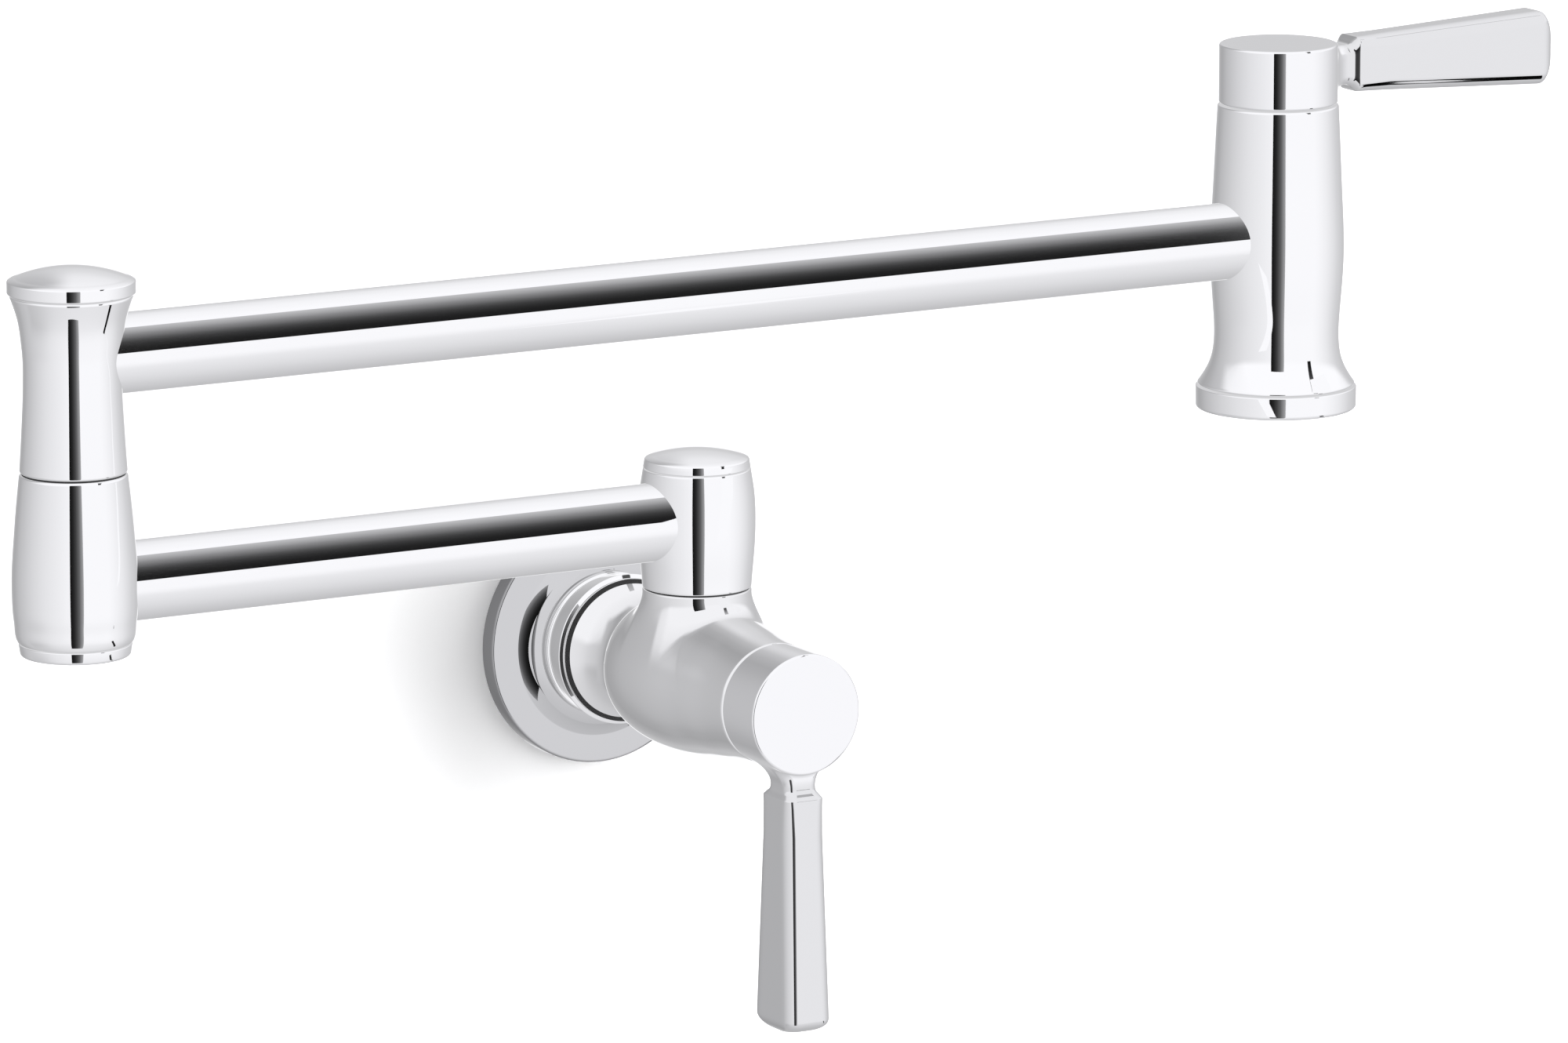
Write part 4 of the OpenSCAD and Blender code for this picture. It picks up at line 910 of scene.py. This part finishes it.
satin = finish(
    "satin_chrome", (0.60, 0.60, 0.62), (0.72, 0.72, 0.74),
    scale=1400.0, rough=0.16, spread=0.14, relief=0.000004, metal=1.0)
dress("aerator_housing", satin)
dress("aerator_insert", moulded)
dress("aerator_washer", rubber)
tree, wire, size = nodes_tree("woven_screen", ["Radius", "Pitch", "Wire", "Height"])
bends, rows = 60, 21


def row_of(count, start, step):
    """Points on a straight line."""
    line = {"Count": count, "Start Location": start, "Offset": step}
    return wire.add("GeometryNodeMeshLine", None, line, "Mesh")


strand = row_of(bends + 1, (-1.0, 0.0, 0.0), (2.0 / bends, 0.0, 0.0))
lines = []
for way in (0, 1):
    spots = row_of(rows, (0.0, -(rows - 1) / 2, 0.0), (0.0, 1.0, 0.0))
    woven = wire.add("GeometryNodeInstanceOnPoints", None, {"Points": spots, "Instance": strand})
    woven = wire.add("GeometryNodeRealizeInstances", None, {"Geometry": woven})
    px, py, _ = wire.add("GeometryNodeInputPosition").parts()
    side = py * size["Pitch"]
    half = (size["Radius"] * size["Radius"] - side * side).of("MAXIMUM", 0.0).of("SQRT")
    reach = px * half
    swing = reach / size["Pitch"] * math.pi + py * math.pi
    wave = swing.of("COSINE") * size["Wire"] * (0.5 if way else -0.5)
    spot = {"X": side, "Y": reach, "Z": wave} if way else {"X": reach, "Y": side, "Z": wave}
    spot = wire.add("ShaderNodeCombineXYZ", None, spot)
    woven = wire.add("GeometryNodeSetPosition", None, {"Geometry": woven, "Position": spot})
    woven = wire.add("GeometryNodeMeshToCurve", None, {"Mesh": woven})
    section = {"Resolution": 6, "Radius": size["Wire"] * 0.5}
    section = wire.add("GeometryNodeCurvePrimitiveCircle", None, section, "Curve")
    woven = {"Curve": woven, "Profile Curve": section, "Fill Caps": True}
    lines.append(wire.add("GeometryNodeCurveToMesh", None, woven))
screen = wire.add("GeometryNodeJoinGeometry", None, {"Geometry": lines})
lift = {"X": UPPER_REACH / 1000, "Y": -ARM_OUT / 1000, "Z": size["Height"]}
lift = wire.add("ShaderNodeCombineXYZ", None, lift)
screen = wire.add("GeometryNodeTransform", None, {"Geometry": screen, "Translation": lift})
tree_end(wire, screen, screw_steel)
sizes = {"Radius": 0.0088, "Pitch": 0.00085, "Wire": 0.00028, "Height": 0.0524}
screen = grown("aerator_screen", tree, sizes, screw_steel, 60)
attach(screen, "upper_arm")


# ---- Room and light ----
# A white wall behind the tap and a pale floor well below it, with one big soft lamp. The
# polished chrome mirrors a bright studio and its plain cards, but no piece mirrors another.

def level(value):
    """The light that a picture level from 0 to 255 stands for, with a trace of blue."""
    c = value / 255
    c = c / 12.92 if c <= 0.04045 else ((c + 0.055) / 1.055) ** 2.4
    return c, c, c * 1.012


world = bpy.data.worlds.new("studio")
bpy.context.scene.world = world
world.use_nodes = True
world.node_tree.nodes.clear()
wire = Wire(world.node_tree)
ray = wire.add("ShaderNodeTexCoord", out="Generated")
ray = wire.add("ShaderNodeVectorMath", {"operation": "NORMALIZE"}, {0: ray})
x, y, z = ray.parts()
azimuth = y.of("ARCTAN2", x) * (180 / math.pi)
height = z.of("ARCSINE") * (180 / math.pi)
pitch_up = z.of("ARCTAN2", -1 * y) * (180 / math.pi)
# Picture levels of the studio by angle in degrees: all round, over the room, up the long card.
ALL_ROUND = [
    (-180, 226), (-165, 232), (-147, 238), (-134, 243), (-116, 249), (-100, 251), (-52, 251), (-40, 247),
    (-28, 241), (-16, 233), (-4, 223), (8, 212), (20, 205), (34, 197), (48, 200), (60, 205), (72, 196),
    (82, 180), (94, 169), (105, 175), (117, 187), (129, 195), (141, 203), (153, 211), (165, 218), (180, 226)]
OVER_THE_ROOM = [
    (-180, 180), (-150, 188), (-130, 193), (-110, 201), (-90, 210), (-74, 219), (-61, 225), (-46, 231),
    (-34, 236), (-22, 241), (-10, 246), (0, 251), (12, 254), (85, 254), (100, 251), (118, 247), (128, 242),
    (140, 236), (150, 224), (167, 210), (180, 200)]
LONG_CARD = [(9, 26), (22, 34), (30, 46), (38, 61), (46, 84), (54, 113), (62, 136), (71, 165), (85, 196)]
BRIGHT_SPOT = (0.490, 0.8496, -0.1953)


def tones(wire, where, table, low=-180, high=180):
    stops = [((a - low) / (high - low), level(v)) for a, v in table]
    return wire.add("ShaderNodeValToRGB", {"stops": stops}, {"Fac": (where - low) / (high - low)})


horizon = tones(wire, azimuth, ALL_ROUND)
vault = tones(wire, pitch_up, OVER_THE_ROOM)
away = height.step(5.0, 18.0) + (1 - height.step(-34.0, -14.0))
pocket = azimuth.step(62.0, 74.0) * (1 - azimuth.step(128.0, 146.0))
pocket = pocket * (1 - height.step(42.0, 60.0)) * height.step(-50.0, -38.0)
sky = mixed(wire, away * (1 - pocket), horizon, vault)
spot = wire.add("ShaderNodeVectorMath", {"operation": "DOT_PRODUCT"}, {0: ray, 1: BRIGHT_SPOT}, "Value")
spot = spot.step(math.cos(math.radians(15)), math.cos(math.radians(9)))
sky = mixed(wire, spot, sky, level(252))
band = x.step(0.428, 0.434) * (1 - x.step(0.528, 0.534))
band = band * pitch_up.step(8.6, 9.0) * (1 - pitch_up.step(84.5, 85.5))
sky = mixed(wire, band, sky, tones(wire, pitch_up, LONG_CARD, 0, 90))
WHITE, MIRRORED = (1.0, 1.0, 1.0, 1.0), 1.05
plain = wire.add("ShaderNodeBackground", None, {"Color": WHITE, "Strength": 1.0})
mirrored = wire.add("ShaderNodeBackground", None, {"Color": sky, "Strength": MIRRORED})
soft = wire.add("ShaderNodeBackground", None, {"Color": WHITE, "Strength": 0.30})
paths = wire.add("ShaderNodeLightPath").socket.node.outputs
is_camera, is_glossy = Wire(wire.tree, paths["Is Camera Ray"]), Wire(wire.tree, paths["Is Glossy Ray"])
lit = wire.add("ShaderNodeMixShader", None, {0: is_glossy, 1: soft, 2: mirrored})
lit = wire.add("ShaderNodeMixShader", None, {0: is_camera, 1: lit, 2: plain})
wire.add("ShaderNodeOutputWorld", None, {"Surface": lit})


def panel(name, corners):
    mesh = bpy.data.meshes.new(name)
    mesh.from_pydata(corners, [], [tuple(range(len(corners)))])
    piece = bpy.data.objects.new(name, mesh)
    bpy.context.scene.collection.objects.link(piece)
    return piece


backdrop, wire = blank("white_wall")
paths = wire.add("ShaderNodeLightPath").socket.node.outputs
is_camera = Wire(wire.tree, paths["Is Camera Ray"])
is_back = wire.add("ShaderNodeNewGeometry", out="Backfacing")
matt = wire.add("ShaderNodeBsdfDiffuse", None, {"Color": (0.90, 0.90, 0.905, 1.0)})
x, _, z = wire.add("ShaderNodeTexCoord", out="Object").parts()
# The wall's camera-only glow is weaker round the plate: a painted shadow that darkens the wall beside it.
glow_with_painted_shadow = 0.17 + 0.36 * length(x + 0.012, z + 0.004).step(0.017, 0.068)
glow = wire.add("ShaderNodeEmission", None, {"Color": WHITE, "Strength": is_camera * glow_with_painted_shadow})
clear = wire.add("ShaderNodeBsdfTransparent")
both = wire.add("ShaderNodeAddShader", None, {0: matt, 1: glow})
both = wire.add("ShaderNodeMixShader", None, {0: is_back, 1: both, 2: clear})
wire.add("ShaderNodeOutputMaterial", None, {"Surface": both})
SIDE, WALL_Y, FLOOR_Z = 4, 0.0001, -0.6
foot = [(-SIDE, WALL_Y, FLOOR_Z), (SIDE, WALL_Y, FLOOR_Z)]
wall = panel("wall_backdrop", [*foot, (SIDE, WALL_Y, 3), (-SIDE, WALL_Y, 3)])
floor = panel("floor", [(-SIDE, -5, FLOOR_Z), (SIDE, -5, FLOOR_Z), *reversed(foot)])
for stage in (wall, floor):
    stage.data.materials.append(backdrop)
for piece in bpy.context.scene.objects:
    piece.visible_glossy = False


def card(cloth, wire, tone, strength, low, high):
    """A card that only the polish shows, from two points of its lower edge to two of its upper."""
    tone = wire.add("ShaderNodeEmission", None, {"Color": tone, "Strength": strength})
    wire.add("ShaderNodeOutputMaterial", None, {"Surface": tone})
    piece = panel(cloth.name, [*low, *high])
    piece.data.materials.append(cloth)
    piece.visible_camera = piece.visible_diffuse = False
    piece.visible_shadow = piece.visible_transmission = False
    return piece


FADE = [(-0.50, 14), (-0.40, 24), (-0.20, 40), (0.0, 66), (0.22, 100), (0.44, 148), (0.56, 175)]
cloth, wire = blank("studio_card")
px, py, _ = wire.add("ShaderNodeTexCoord", out="Object").parts()
tone = tones(wire, px * 0.891 - py * 0.454, FADE, -0.56, 0.56)
left, right = (-0.445, 0.226), (0.499, -0.254)
low, high = [(*left, -2.4), (*right, -2.4)], [(*right, 1.5), (*left, 1.5)]
card(cloth, wire, tone, 1.0, low, high).location = (-1.135, -2.28, 0.0)
for name, value, left, right, low, high in (
        ("over_card", 252, 0.228, 0.34, (-0.165, 0.148), (-0.07, 0.224)),
        ("neck_card", 252, 0.026, 0.085, (-0.2, 0.0), (-0.125, 0.0625)),
        ("under_card", 8, 0.835, 0.98, (-0.954, -0.54), (-0.4, -0.95))):
    tone = (*level(value), 1.0)
    card(*blank(name), tone, MIRRORED, [(left, *low), (right, *low)], [(right, *high), (left, *high)])

lamp = bpy.data.objects.new("soft_lamp", bpy.data.lights.new("soft_lamp", "AREA"))
bpy.context.scene.collection.objects.link(lamp)
lamp.data.shape = "RECTANGLE"
lamp.data.size, lamp.data.size_y = 3.0, 3.0
lamp.data.energy = 88.0
lamp.location = (1.9, -2.2, 0.6)
lamp.rotation_mode = "QUATERNION"
lamp.rotation_quaternion = (Vector((0.0, -0.03, 0.0)) - lamp.location).to_track_quat("-Z", "Y")
lamp.visible_glossy = False

camera = bpy.data.objects.new("camera", bpy.data.cameras.new("camera"))
bpy.context.scene.collection.objects.link(camera)
bpy.context.scene.camera = camera
yaw, pitch, distance = math.radians(29.976), math.radians(11.265), 2.832956
aim = Vector((0.024576, -0.05317, 0.035902))
look = Vector((math.sin(yaw) * math.cos(pitch), math.cos(yaw) * math.cos(pitch), -math.sin(pitch)))
camera.location = aim - look * distance
right = Vector((math.cos(yaw), -math.sin(yaw), 0.0))
upward = right.cross(look)
camera.matrix_world = Matrix((
    (right.x, upward.x, -look.x, camera.location.x),
    (right.y, upward.y, -look.y, camera.location.y),
    (right.z, upward.z, -look.z, camera.location.z),
    (0.0, 0.0, 0.0, 1.0)))
camera.data.sensor_width = 36.0
camera.data.lens = 265.2
camera.data.clip_start, camera.data.clip_end = 0.05, 50.0
bpy.context.scene.view_settings.view_transform = "Standard"
